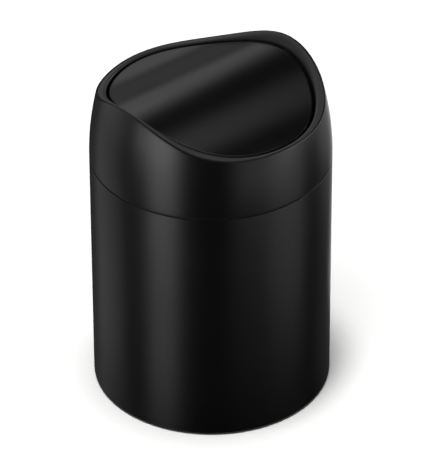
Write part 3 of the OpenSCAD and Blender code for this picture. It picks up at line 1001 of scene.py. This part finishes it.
@dataclass
class Collar:
    """The lift-off collar: skin, frame with the rim band, locating ring, screws, bushes and bumpers.

    Attributes:
        form: The can's form.
        ring: The rule that sets copies round Z.
        skin_t: Thickness of the collar's sheet.
        hem: Radius of its cut edges.
        gap: Clearance between the skin and the frame.
        frame_t: Wall of the frame behind the skin.
        deck_t: Thickness of the frame's deck.
        skirt_t: Wall of the skirt round the opening.
        skirt_drop: Depth of the skirt below the rim's low sides.
        inner_fillet: Radius of the rim band's inner edge at the low sides.
        outer_fillet: Radius of its outer edge.
        seam_ease: How far the skin's lower edge lies above the frame's foot.
        groove_w: Width of the shadow line between the skin and the band, beyond the clearance.
        groove_deep: Depth of that line.
        funnel_share: Share of the band that slopes down to the flap at the ends of the ridge.
        funnel_roundness: How round that slope is, from 0 for straight to 1 for a quarter of an ellipse.
        flap_reveal: How far the slope ends above the flap.
        stop_w: Width of a stop arm.
        bumper_t: Wall of a soft bumper.
        lug_t: Thickness of a screw lug.
        fit: Clearance of pressed pieces.
    """

    form: CanForm
    ring: RingRule
    skin_t: float = 0.5
    hem: float = 0.2
    gap: float = 0.1
    frame_t: float = 1.8
    deck_t: float = 2.0
    skirt_t: float = 1.6
    skirt_drop: float = 6.0
    inner_fillet: float = 1.3
    outer_fillet: float = 0.3
    seam_ease: float = 0.12
    groove_w: float = 0.3
    groove_deep: float = 1.4
    funnel_share: float = 0.9
    funnel_roundness: float = 0.5
    flap_reveal: float = 0.2
    stop_w: float = 3.0
    bumper_t: float = 0.8
    lug_t: float = 2.0
    fit: float = 0.05
    name: str = field(default="collar", init=False)

    def build(self) -> None:
        """Builds every piece of the collar."""
        self.skin()
        self.frame()
        self.locating_ring()
        self.screws()
        self.bushes()
        self.bumpers()

    def skin(self) -> None:
        """Drawn-in steel skin, its upper edge cut to the wave and softened."""
        form, hem = self.form, self.hem
        turns = full_turn()
        outer_top, inner_top = (form.rim_edge(turns, inset) for inset in (0.0, self.skin_t))
        low = np.full_like(turns, form.seat_z + self.seam_ease)
        edge = quarter(5)
        outside, inside = np.linspace(0.02, 0.98, 22), np.linspace(0.98, 0.02, 10)
        rows = [(hem * off, low + hem * near) for near, off in edge]
        rows += [(0.0, low + hem + share * (outer_top - low - 2 * hem)) for share in outside]
        rows += [(hem * near, outer_top - hem * off) for near, off in edge]
        rows += [(self.skin_t - hem * near, inner_top - hem * off) for near, off in edge[::-1]]
        rows += [(self.skin_t, low + hem + share * (inner_top - low - 2 * hem)) for share in inside]
        rows += [(self.skin_t - hem * off, low + hem * near) for near, off in edge[::-1]]
        rings = [ring_at(turns, form.collar_r(z) - inset, z) for inset, z in rows]
        sketch = Sketch().shell(np.array(rings), looped=True)
        hand_over(sketch.thing("collar_sheet"), BODY_COAT, self.name, "collar_skin")

    def frame(self) -> None:
        """Moulded frame: rim band, deck, skirt, outer wall, bosses, posts and arms."""
        sketch = Sketch().shell(self._frame_rings(), looped=True)
        self._add_posts(sketch)
        self._add_pivot_bosses(sketch)
        hand_over(sketch.thing("rim_band_and_frame"), BLACK_ABS, self.name, "collar_frame")

    def locating_ring(self) -> None:
        """Ring that plugs into the neck, with a tapered lead-in and a lug for each screw."""
        node_lo, node_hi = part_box("locating_ring")
        radius, low, top = node_hi.x / MM, node_lo.z / MM, node_hi.z / MM
        wall, lead_in, lug_r, lug_inset = 1.6, 1.2, 3.75, 0.45
        outline = rounded([(radius - wall, low, 0.2), (radius - 0.5, low, 0.2), (radius, low + lead_in, 0.8),
                           (radius, top, 0.2), (radius - wall, top, 0.2)])
        sketch = Sketch().turned(outline, closed=True)
        for turn in self._screw_turns():
            along = np.array([math.cos(turn), math.sin(turn)])
            middle = along * (self._post_ring_r() - lug_inset)
            sketch.bar(lug_r, top - self.lug_t, top, centre=(float(middle[0]), float(middle[1])), edge=0.25)
        hand_over(sketch.thing("plug_ring_moulding"), DARK_PP, self.name, "locating_ring")

    def screws(self) -> None:
        """Four screws up through the lugs."""
        lug_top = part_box("locating_ring")[1].z / MM
        _, screw_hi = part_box("collar_screws")
        bearing = lug_top - self.lug_t
        template = Screw().template(bearing, screw_hi.z / MM - bearing)
        self.ring.hand_over_set("collar_screw_set", template, SCREW_ZINC, self.name, "collar_screws", count=4,
                                radius=self._post_ring_r(), start=math.pi / 4)

    def bushes(self) -> None:
        """Flanged acetal bushes, one at each end of the flap's axis."""
        for node, side in (("pivot_bush_left", -1), ("pivot_bush_right", 1)):
            node_lo, node_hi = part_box(node)
            height = (node_lo.z + node_hi.z) / 2 / MM
            near, far = sorted((abs(node_lo.x) / MM, abs(node_hi.x) / MM))
            flange, bore, outer = (node_hi.z - node_lo.z) / 2 / MM, 2.06, 3.26
            shoulder = near + 0.7
            outline = rounded([(bore, near, 0.25), (flange, near, 0.2), (flange, shoulder, 0.08),
                               (outer, shoulder, 0), (outer, far, 0.3), (bore, far, 0.2)], steps=3)
            outline[:, 1] *= side
            sketch = Sketch().turned(outline, Axis.X, (0, height), closed=True, segments=SMALL_ROUND)
            hand_over(sketch.thing(f"bush_{node[11:]}"), BUSH_ACETAL, self.name, node)

    def bumpers(self) -> None:
        """Soft sleeves on the stop arms."""
        node_lo, node_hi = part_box("stop_bumpers")
        half = node_hi.y / MM
        low, high = node_lo.z / MM, node_hi.z / MM
        reach, length = 41.97, 5.0
        sketch = Sketch().block((reach, -half, low), (reach + length, half, high), Axis.X,
                                corner=0.8, edge=0.45)
        self.ring.hand_over_set("bumper_set", sketch.thing("bumper_template"), PAD_RUBBER, self.name,
                                "stop_bumpers", count=2, radius=0.0, start=0.0)

    @staticmethod
    def _screw_turns() -> list[float]:
        """Directions of the four screws, halfway between the axes."""
        return [math.radians(45 + 90 * index) for index in range(4)]

    def _post_ring_r(self) -> float:
        """Distance from the middle of the can to the middle of a screw."""
        node_lo, node_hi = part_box("collar_screws")
        return ((node_hi.x - node_lo.x) / 2 / MM - Screw().head_r) * math.sqrt(2)

    def _wall_r(self, height: np.ndarray | float) -> np.ndarray:
        """Distance from the middle of the can to the middle of the frame's wall."""
        return self.form.collar_r(height) - self.skin_t - self.gap - self.frame_t / 2

    def _frame_rings(self) -> np.ndarray:
        """Rings of the frame's wall, round its whole section.

        Returns:
            The rings, from the foot of the outer wall up, across the band, down the skirt and back.
        """
        form = self.form
        turns = full_turn()
        sines = np.sin(turns)
        outer_inset = self.skin_t + self.gap
        inner_inset = outer_inset + self.frame_t
        band_inset = outer_inset + self.groove_w
        bevel, edge, least_gap = 0.3, 0.35, 0.02
        foot = np.full_like(turns, form.seat_z)
        top = form.rim_edge(turns, band_inset)
        band_out = form.collar_r(top) - band_inset
        opening = form.oval_r(turns, form.open_a, form.open_b)
        rows = [(form.collar_r(foot) - outer_inset - bevel, foot),
                (form.collar_r(foot) - outer_inset, foot + bevel)]
        groove = top - self.groove_deep
        heights = [foot + share * (groove - foot) for share in np.linspace(0.03, 1.0, 12)]
        rows += [(form.collar_r(z) - outer_inset, z) for z in heights]
        heights = [groove + share * (self.groove_deep - self.outer_fillet) for share in (0.0, 0.5, 1.0)]
        rows += [(form.collar_r(z) - band_inset, z) for z in heights]
        for near, off in quarter(6):
            radius = band_out - self.outer_fillet * near
            rows.append((radius, form.rim_z(radius * sines) - self.outer_fillet * off))
        sunk = form.rim_z(opening * sines) - form.flap_z(opening * sines)
        share_sunk = (sunk - form.recess_sides) / (sunk.max() - form.recess_sides)
        funnel_deep = np.maximum(sunk - self.flap_reveal, self.inner_fillet)
        room = band_out - self.outer_fillet - opening
        funnel_w = self.inner_fillet + share_sunk * (self.funnel_share * room - self.inner_fillet)
        start, end = band_out - self.outer_fillet, opening + funnel_w
        for share in (0.06, 0.2, 0.35, 0.5, 0.65, 0.8, 0.94):
            radius = start + share * (end - start)
            rows.append((radius, form.rim_z(radius * sines)))
        roundness = 1 - (1 - self.funnel_roundness) * share_sunk
        for bend in np.linspace(0, math.pi / 2, 13):
            straight = (1 - roundness) * bend / (math.pi / 2)
            radius = opening + funnel_w * (1 - straight - roundness * math.sin(bend))
            fall = funnel_deep * (straight + roundness * (1 - math.cos(bend)))
            rows.append((radius, form.rim_z(radius * sines) - fall))
        skirt_z = form.valley_z - self.skirt_drop
        brink = form.rim_z(opening * sines) - funnel_deep
        rows += [(opening, brink + share * (skirt_z + edge - brink)) for share in (0.05, 0.35, 0.65, 0.95)]
        outside = opening + self.skirt_t
        back = np.minimum(outside, form.collar_r(skirt_z) - inner_inset - least_gap)
        rows += [(opening + edge * near, skirt_z + edge * off) for near, off in quarter(4)]
        rows += [(back - edge * near, skirt_z + edge * off) for near, off in quarter(4)[::-1]]
        deck = form.rim_z(outside * sines) - self.deck_t
        rows.append((np.minimum(outside, form.collar_r(deck) - inner_inset - least_gap), deck))
        deck_out = form.rim_z((form.collar_r(deck) - inner_inset) * sines) - self.deck_t
        heights = [deck_out] + [foot + share * (deck_out - foot) for share in np.linspace(0.9, 0.0, 8)]
        rows += [(form.collar_r(z) - inner_inset, z) for z in heights]
        return np.array([ring_at(turns, radius, z) for radius, z in rows])

    def _add_posts(self, sketch: Sketch) -> None:
        """Adds the screw posts and the webs that tie them to the outer wall.

        Args:
            sketch: The frame's sketch.
        """
        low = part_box("locating_ring")[1].z / MM
        post_r, post_h, shy = 3.4, 11.0, 0.1
        ring_r = self._post_ring_r()
        wall = float(self._wall_r(low + post_h))
        for turn in self._screw_turns():
            middle = (ring_r * math.cos(turn), ring_r * math.sin(turn))
            sketch.bar(post_r, low, low + post_h, centre=middle, edge=0.4)
            outline = plate_outline((wall - ring_r) / 2, post_r / 2, 0.1, 0.0, steps=1)
            outline[:, 0] += (wall + ring_r) / 2
            across = outline[:, 0] * math.cos(turn) - outline[:, 1] * math.sin(turn)
            up = outline[:, 0] * math.sin(turn) + outline[:, 1] * math.cos(turn)
            rings = [Axis.Z.place(across, up, np.array(z)) for z in (low + shy, low + post_h - shy)]
            sketch.shell(np.array(rings))

    def _add_pivot_bosses(self, sketch: Sketch) -> None:
        """Adds the bosses round the bushes and the arms that stop the flap.

        Args:
            sketch: The frame's sketch.
        """
        bush_lo, bush_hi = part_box("pivot_bush_right")
        arm_lo, arm_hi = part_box("stop_bumpers")
        height = (bush_lo.z + bush_hi.z) / 2 / MM
        boss_r, bore_r, deep = 5.11, 3.3, self.form.open_a + 0.9
        low, high = arm_lo.z / MM + self.bumper_t + self.fit, arm_hi.z / MM - self.bumper_t - self.fit
        wall, root = float(self._wall_r(height)), float(self._wall_r(low))
        half, tip = self.stop_w / 2, 42.82
        for side in (-1, 1):
            outline = rounded([(bore_r, deep, 0), (boss_r, deep, 0), (boss_r, wall, 0), (bore_r, wall, 0)])
            outline[:, 1] *= side
            sketch.turned(outline, Axis.X, (0, height), closed=True, segments=SMALL_ROUND)
            inner, outer = sorted((side * tip, side * root))
            sketch.block((inner, -half, low), (outer, half, high), Axis.X, corner=0.4, edge=0.3)
            levels = np.linspace(high - 0.5, height - boss_r + 1.0, 8)
            face = np.full_like(levels, self.form.open_a + self.skirt_t / 2)
            across = side * np.concatenate([face, self._wall_r(levels)[::-1]])
            rings = [Axis.Y.place(across, np.concatenate([levels, levels[::-1]]), np.array(place))
                     for place in (-half, half)]
            sketch.shell(np.array(rings))


@dataclass
class Flap:
    """The swinging flap: skin, bonding strips, tray, pins and the ballast with its cover and screws.

    Attributes:
        form: The can's form.
        wave: The rule that lifts flat pieces by the wave.
        ring: The rule that sets copies round Z.
        ribs: The rule that makes the row of ribs.
        skin_t: Thickness of the flap's sheet.
        edge_h: Depth of its turned-down edge.
        edge_bend: Outside radius of that bend.
        tape_t: Thickness of the bonding strips.
        tray_t: Plate thickness of the tray.
        tray_edge: Width and depth of the tray's edge wall.
        rib_t: Thickness of a rib.
        rib_h: Height of a rib.
        rib_pitch: Distance between ribs.
        tab_t: Thickness of the tabs that hold the ballast cover.
        tab_screw: Distance from the end of the cover to the middle of its screw.
        fit: Clearance of pressed pieces.
    """

    form: CanForm
    wave: WaveRule
    ring: RingRule
    ribs: RibRule
    skin_t: float = 0.6
    edge_h: float = 2.8
    edge_bend: float = 0.9
    tape_t: float = 0.3
    tray_t: float = 1.6
    tray_edge: float = 1.6
    rib_t: float = 1.2
    rib_h: float = 1.6
    rib_pitch: float = 15.0
    tab_t: float = 1.6
    tab_screw: float = 4.5
    fit: float = 0.05
    name: str = field(default="flap", init=False)

    def build(self) -> None:
        """Builds every piece of the flap."""
        self.skin()
        self.bonding_strips()
        self.tray()
        self.pins()
        self.ballast_bar()
        self.ballast_cover()
        self.ballast_screws()

    def _oval_shell(self, half_a: float, half_b: float, section: np.ndarray) -> Sketch:
        """Draws a flat oval dish or plate from its section.

        Args:
            half_a: Half its length along X.
            half_b: Half its length along Y.
            section: From the middle of the top to the middle of the underside, each point as its distance
                in from the edge and its level.

        Returns:
            The sketch.
        """
        turns = full_turn()
        mean = (half_a + half_b) / 2
        rings = []
        for inset, level in section:
            share = max(0.0, 1 - inset / mean)
            across, up = half_a * share * np.cos(turns), half_b * share * np.sin(turns)
            rings.append(Axis.Z.place(across, up, np.array(level)))
        return Sketch().shell(np.array(rings))

    def _inward(self, half_a: float, half_b: float, edge: np.ndarray, top: float, under: float,
                steps: int = 44) -> np.ndarray:
        """Completes an edge's section with the rows of the plate's two faces.

        Args:
            half_a: Half the plate's length along X.
            half_b: Half its length along Y.
            edge: The edge's section, from the top face round to the underside.
            top: Level of the top face.
            under: Level of the underside.
            steps: Rows across each face.

        Returns:
            The whole section.
        """
        mean, past_edge = (half_a + half_b) / 2, 1.15
        rows = np.linspace(mean, edge[0][0] * past_edge, steps)
        back = np.linspace(edge[-1][0] * past_edge, mean, steps)
        return np.array([*[(row, top) for row in rows], *edge, *[(row, under) for row in back]])

    def skin(self) -> None:
        """Arched steel skin with its edge rolled down."""
        form, thick, bend = self.form, self.skin_t, self.edge_bend
        outline = rounded([(3.0, 0, 0), (0, 0, bend), (0, -self.edge_h, 0.25), (thick, -self.edge_h, 0.25),
                           (thick, -thick, bend - thick), (4.0, -thick, 0)], closed=False, steps=6)
        section = self._inward(form.flap_a, form.flap_b, outline[1:-1], 0.0, -thick)
        template = self._oval_shell(form.flap_a, form.flap_b, section).thing("flap_template")
        skin = self.wave.run("flap_sheet", template, form.wave_values(FLAP_COAT))
        hand_over(skin, FLAP_COAT, self.name, "flap_skin")

    def bonding_strips(self) -> None:
        """Two strips of foam tape that follow the wave under the skin."""
        _, node_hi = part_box("flap_bonding_strips")
        reach, outer, width = node_hi.x / MM, node_hi.y / MM, 14.0
        sketch = Sketch()
        under, top = -self.skin_t - self.tape_t, -self.skin_t
        for side in (-1, 1):
            low, high = sorted((side * (outer - width), side * outer))
            stations = list(np.linspace(low + 1, high - 1, 10))
            sketch.block((-reach, low, under), (reach, high, top), Axis.Y, corner=0.1, edge=0.1,
                         stations=stations)
        template = sketch.thing("strip_template")
        strips = self.wave.run("foam_strips", template, self.form.wave_values(FOAM_TAPE))
        hand_over(strips, FOAM_TAPE, self.name, "flap_bonding_strips")

    def tray(self) -> None:
        """Moulded tray under the skin: plate, edge wall, ribs, ears and posts."""
        form = self.form
        inset = self.skin_t + self.fit
        half_a, half_b = form.flap_a - inset, form.flap_b - inset
        top = -self.skin_t - self.tape_t
        under, edge_low = top - self.tray_t, top - self.tray_t - self.tray_edge
        outline = rounded([
            (3.0, top, 0), (0, top, 0.3), (0, edge_low, 0.35), (self.tray_edge, edge_low, 0.35),
            (self.tray_edge, under, 0.5), (4.0, under, 0)], closed=False, steps=4)
        section = self._inward(half_a, half_b, outline[1:-1], top, under)
        values = form.wave_values(DARK_PP)
        template = self._oval_shell(half_a, half_b, section).thing("tray_template")
        plate = self.wave.run("tray_plate", template, values)
        _, cover_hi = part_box("ballast_cover")
        half = self.rib_t / 2
        blank = Sketch()
        blank_in, blank_out, end_gap = 1000.0, 2000.0, 40.0
        stations = np.linspace(blank_in + end_gap, blank_out - end_gap, 24)
        for side in (-1, 1):
            low, high = sorted((side * blank_in, side * blank_out))
            places = sorted(float(side * place) for place in stations)
            blank.block((-half, low, under - self.rib_h), (half, high, under + 0.3), Axis.Y, corner=0.3,
                        edge=0.05, stations=places)
        row = self.ribs.run("tray_ribs", blank.thing("rib_blank"), {
            "Count": 5, "Pitch": self.rib_pitch * MM, "Inner": (cover_hi.y / MM + 1.0) * MM,
            "Oval A": (half_a - self.tray_edge / 2) * MM, "Oval B": (half_b - self.tray_edge / 2) * MM,
            "Material": DARK_PP.material()})
        row = self.wave.run("tray_rib_row", row, values)
        fittings = self._ears_and_posts(top, half_a).thing("tray_fittings")
        hand_over(joined("tray_moulding", [plate, row, fittings]), DARK_PP, self.name, "flap_tray")

    def _ears_and_posts(self, top: float, half_a: float) -> Sketch:
        """Draws the ears that carry the pins and the posts for the ballast screws.

        Args:
            top: Level of the tray's top below the skin's, as a drop from the ridge.
            half_a: Half the tray's length along X.

        Returns:
            The sketch.
        """
        pin_lo, pin_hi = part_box("pivot_pin_right")
        cover_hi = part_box("ballast_cover")[1]
        axis_z = (pin_lo.z + pin_hi.z) / 2 / MM
        ear_r, ear_l, post_r = 4.6, 6.0, 3.3
        roof = self.form.flap_top + top - self.tray_t / 2
        post_x = cover_hi.x / MM - self.tab_screw
        sketch = Sketch()
        for side in (-1, 1):
            bends = np.linspace(math.pi, 2 * math.pi, 25)
            across = np.concatenate([[ear_r], ear_r * np.cos(bends)[::-1], [-ear_r]])
            up = np.concatenate([[roof], axis_z + ear_r * np.sin(bends)[::-1], [roof]])
            places = (side * (half_a - ear_l), side * (half_a - 0.25))
            sketch.shell(np.array([Axis.X.place(across, up, np.array(place)) for place in places]))
            sketch.bar(post_r, cover_hi.z / MM, roof, centre=(side * post_x, 0.0), edge=0.3)
        return sketch

    def pins(self) -> None:
        """Headed steel pins on which the flap swings."""
        for node, side in (("pivot_pin_left", -1), ("pivot_pin_right", 1)):
            node_lo, node_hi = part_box(node)
            height = (node_lo.z + node_hi.z) / 2 / MM
            near, far = sorted((abs(node_lo.x) / MM, abs(node_hi.x) / MM))
            head_r, pin_r, head_t = (node_hi.z - node_lo.z) / 2 / MM, 2.0, 1.0
            outline = rounded([(0, near, 0), (head_r, near, 0.3), (head_r, near + head_t, 0.1),
                               (pin_r, near + head_t, 0), (pin_r, far, 0.4), (0, far, 0)], closed=False)
            outline[:, 1] *= side
            sketch = Sketch().turned(outline, Axis.X, (0, height), segments=SMALL_ROUND)
            hand_over(sketch.thing(f"pin_{node[10:]}"), PIN_STEEL, self.name, node)

    def ballast_bar(self) -> None:
        """Sawn steel bar in its trough."""
        node_lo, node_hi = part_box("ballast_bar")
        sketch = Sketch().block(node_lo / MM, node_hi / MM, Axis.X, corner=0.5, edge=0.2)
        hand_over(sketch.thing("sawn_bar"), BAR_STEEL, self.name, "ballast_bar")

    def ballast_cover(self) -> None:
        """Moulded trough with rounded edges and a screw tab at each end."""
        node_lo, node_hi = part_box("ballast_cover")
        low, high = node_lo / MM, node_hi / MM
        tab_l, wall, reach = 9.0, 1.2, 6.0
        half_l, half_w = high.x - tab_l, high.y
        rim = rounded([(reach, low.z, 0), (0, low.z, 1.0), (0, high.z, 0.15), (wall, high.z, 0.15),
                       (wall, low.z + wall, 0.6), (reach, low.z + wall, 0)], closed=False)
        rings = []
        for inset, height in rim:
            outline = plate_outline(half_l, half_w, 1.6, inset)
            rings.append(Axis.Z.place(outline[:, 0], outline[:, 1], np.array(height)))
        sketch = Sketch().shell(np.array(rings))
        for side in (-1, 1):
            inner, outer = sorted((side * (half_l - wall / 2), side * high.x))
            sketch.block((inner, -half_w, high.z - self.tab_t), (outer, half_w, high.z),
                         corner=0.5, edge=0.25)
        hand_over(sketch.thing("ballast_trough"), DARK_PP, self.name, "ballast_cover")

    def ballast_screws(self) -> None:
        """Two screws up through the tabs."""
        _, cover_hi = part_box("ballast_cover")
        _, screw_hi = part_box("ballast_screws")
        bearing = cover_hi.z / MM - self.tab_t
        template = Screw().template(bearing, screw_hi.z / MM - bearing)
        self.ring.hand_over_set("ballast_screw_set", template, SCREW_ZINC, self.name, "ballast_screws",
                                count=2, radius=cover_hi.x / MM - self.tab_screw, start=0.0)


@dataclass(frozen=True)
class Softbox:
    """One plain soft light, which shows only as a highlight.

    Attributes:
        name: Its name.
        bearing: Direction from the can, in degrees from the camera's side towards the camera's right.
        rise: Elevation of its middle above the can's middle, in degrees.
        width: Its width as the can sees it, in degrees.
        height: Its height as the can sees it, in degrees.
        level: Its brightness; 1 is as bright as the surround.
        reach: Its distance from the can, in metres.
    """

    name: str
    bearing: float
    rise: float
    width: float
    height: float
    level: float
    reach: float = 0.9


@dataclass(frozen=True)
class Overhead:
    """One far, broad light over the can, which whitens the floor and lays a soft shadow.

    Attributes:
        name: Its name.
        bearing: Direction that it comes from, in degrees from the camera's side towards the camera's right.
        rise: Its elevation, in degrees.
        spread: How wide it is, in degrees.
        strength: Its strength, in watts per square metre.
    """

    name: str
    bearing: float
    rise: float
    spread: float
    strength: float


@dataclass
class Studio:
    """Pale floor and surround, soft lights and the camera.

    Attributes:
        form: The can's form.
        azimuth: Direction of the camera, in degrees; at 0 it looks along +Y.
        elevation: Height of the camera above the horizon, in degrees.
        distance: Distance from the camera to a point on the can's axis, as high as the body's radius, in
            metres.
        lens: Focal length, in millimetres.
        roll: Roll of the camera, in degrees.
        aim: Where the photograph's middle lies, to the right of and above that point, in metres.
        ambient: Strength of the even light from all sides.
        overheads: The lights of the floor.
        boxes: The softboxes.
    """

    form: CanForm
    azimuth: float = -40.27
    elevation: float = 34.86
    distance: float = 2.216
    lens: float = 315.9
    roll: float = -0.26
    aim: tuple[float, float] = (0.00173, 0.01605)
    ambient: float = 0.15
    overheads: tuple[Overhead, ...] = (
        Overhead("overhead_middle", 0, 90, 16, 1.71),
        Overhead("overhead_left", -50, 84, 10, 1.1),
        Overhead("overhead_front", -30, 70, 16, 0.71),
    )
    boxes: tuple[Softbox, ...] = (
        Softbox("strip_left_low", -46, -38, 27, 10, 1.17),
        Softbox("strip_left", -43, -11, 25, 37, 1.71),
        Softbox("strip_left_high", -51, -1, 41, 12, 2.68),
        Softbox("panel_back_left_low", -114, -49, 52, 24, 0.10),
        Softbox("panel_back_left", -110, -19, 40, 42, 0.37),
        Softbox("panel_back_left_high", -105, 5, 55, 29, 0.38),
        Softbox("fill_right", 34, -26, 34, 28, 0.12),
        Softbox("panel_right", 72, -14, 36, 43, 0.49),
        Softbox("fill_right_high", 50, -6, 57, 27, 0.67),
        Softbox("panel_right_high", 108, 8, 80, 31, 2.12),
        Softbox("edge_right", 136, -22, 40, 41, 0.06),
        Softbox("top_back_right", 143, 62, 30, 14, 1.14, 4),
        Softbox("wall_back", 191, 34.5, 22, 46, 0.55, 4),
        Softbox("wall_back_low", 188, 0, 20, 12, 0.2, 4),
        Softbox("overhead_panel", 171, 81, 90, 22, 0.8, 1.5),
        Softbox("back_left_mid", -157, 38, 39, 20, 0.48, 1.5),
        Softbox("edge_right_outer", 168, -21, 28, 33, 1.08),
        Softbox("edge_right_collar", 146, -10, 57, 36, 0.31),
        Softbox("edge_left_outer", -146, -31, 29, 40, 0.05),
        Softbox("back_left_high", -112, 49, 73, 43, 0.47, 2),
        Softbox("front_high", 0, 56, 80, 24, 0.35, 1.5),
    )

    def build(self) -> None:
        """Builds the studio."""
        bpy.context.scene.view_settings.view_transform = "Standard"
        self.camera()
        self.ground()
        for over in self.overheads:
            self.overhead(over)
        for box in self.boxes:
            self.softbox(box)

    def _direction(self, bearing: float, rise: float) -> Vector:
        """Gives a unit vector from the can.

        Args:
            bearing: Its direction, in degrees from the camera's side towards the camera's right.
            rise: Its elevation, in degrees.

        Returns:
            The vector.
        """
        turn = math.radians(self.azimuth + bearing)
        up = math.radians(rise)
        return Vector((math.sin(turn) * math.cos(up), -math.cos(turn) * math.cos(up), math.sin(up)))

    def camera(self) -> None:
        """Camera at the photograph's angle, without shift or depth of field."""
        lens = bpy.data.cameras.new("photo_camera")
        lens.lens, lens.sensor_width = self.lens, 36.0
        lens.clip_start, lens.clip_end = 0.05, 50.0
        made = placed("photo_camera", lens)
        back = self._direction(0, self.elevation)
        turn = (-back).to_track_quat("-Z", "Y")
        right, up = turn @ Vector((1, 0, 0)), turn @ Vector((0, 1, 0))
        middle = Vector((0, 0, self.form.body_r * MM))
        made.location = middle + back * self.distance
        target = middle + right * self.aim[0] + up * self.aim[1]
        made.rotation_mode = "QUATERNION"
        made.rotation_quaternion = (target - made.location).to_track_quat("-Z", "Y") @ Quaternion(
            (0, 0, 1), math.radians(self.roll))
        bpy.context.scene.camera = made

    def ground(self) -> None:
        """Plain pale floor, which black gloss doesn't mirror, and a pale surround for low views."""
        floor_r, surround_r, surround_z = 6.0, 5900.0, -2.0
        floor = self._disc("floor", floor_r)
        material = bpy.data.materials.new("pale_floor_paint")
        material.use_nodes = True
        shader = material.node_tree.nodes["Principled BSDF"]
        shader.inputs["Base Color"].default_value = linear("#f1f1f0")
        shader.inputs["Roughness"].default_value = 0.9
        shader.inputs["Specular IOR Level"].default_value = 0.0
        floor.data.materials.append(material)
        floor.visible_glossy = False
        floor.visible_shadow = False
        world = bpy.data.worlds.new("even_studio_light")
        world.use_nodes = True
        background = world.node_tree.nodes["Background"].inputs
        background["Strength"].default_value = self.ambient
        background["Color"].default_value = WHITE
        world.cycles_visibility.glossy = False
        bpy.context.scene.world = world
        drum = np.array([
            (0, surround_r), (surround_r, surround_r), (surround_r, surround_z), (0, surround_z)])
        surround = Sketch().turned(drum, segments=SMALL_ROUND).thing("surround")
        glow = bpy.data.materials.new("pale_surround")
        glow.use_nodes = True
        glow.node_tree.nodes.clear()
        light = add_node(glow.node_tree, "ShaderNodeEmission", inputs={"Color": WHITE, "Strength": 1.0})
        add_node(glow.node_tree, "ShaderNodeOutputMaterial", inputs={"Surface": light.outputs[0]})
        surround.data.materials.append(glow)
        surround.visible_diffuse = surround.visible_glossy = surround.visible_shadow = False
        surround.visible_transmission = surround.visible_volume_scatter = False

    @staticmethod
    def _disc(name: str, radius: float) -> bpy.types.Object:
        """Makes a flat disc at the height 0.

        Args:
            name: The disc's name.
            radius: Its radius, in metres.

        Returns:
            The disc.
        """
        mesh = bpy.data.meshes.new(name)
        work = bmesh.new()
        bmesh.ops.create_circle(work, cap_ends=True, segments=96, radius=radius)
        work.to_mesh(mesh)
        work.free()
        return placed(name, mesh)

    def overhead(self, over: Overhead) -> None:
        """Adds one far light over the can.

        Args:
            over: The light's data.
        """
        light = bpy.data.lights.new(over.name, "SUN")
        light.energy = over.strength
        light.angle = math.radians(over.spread)
        made = placed(over.name, light)
        made.rotation_mode = "QUATERNION"
        made.rotation_quaternion = self._direction(over.bearing, over.rise).to_track_quat("Z", "Y")
        made.visible_glossy = False

    def softbox(self, box: Softbox) -> None:
        """Adds one soft light, turned to the can.

        Args:
            box: The light's data.
        """
        light = bpy.data.lights.new(box.name, "AREA")
        light.shape = "RECTANGLE"
        wide, high = (2 * box.reach * math.tan(math.radians(span / 2)) for span in (box.width, box.height))
        light.size = wide * math.cos(math.radians(box.rise))
        light.size_y = high
        light.energy = box.level * math.pi * light.size * light.size_y
        made = placed(box.name, light)
        direction = self._direction(box.bearing, box.rise)
        made.location = Vector((0, 0, self.form.ridge_z / 2 * MM)) + direction * box.reach
        made.rotation_mode = "QUATERNION"
        made.rotation_quaternion = direction.to_track_quat("Z", "Y")
        made.visible_camera = made.visible_diffuse = False


def main() -> None:
    """Builds the can's looks round the frame."""
    logging.basicConfig(level=logging.INFO, format="%(message)s")
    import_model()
    form = CanForm.from_frame()
    ring = RingRule()
    Body(form, ring).build()
    Collar(form, ring).build()
    Flap(form, WaveRule(), ring, RibRule()).build()
    Studio(form).build()


if __name__ == "__main__":
    main()
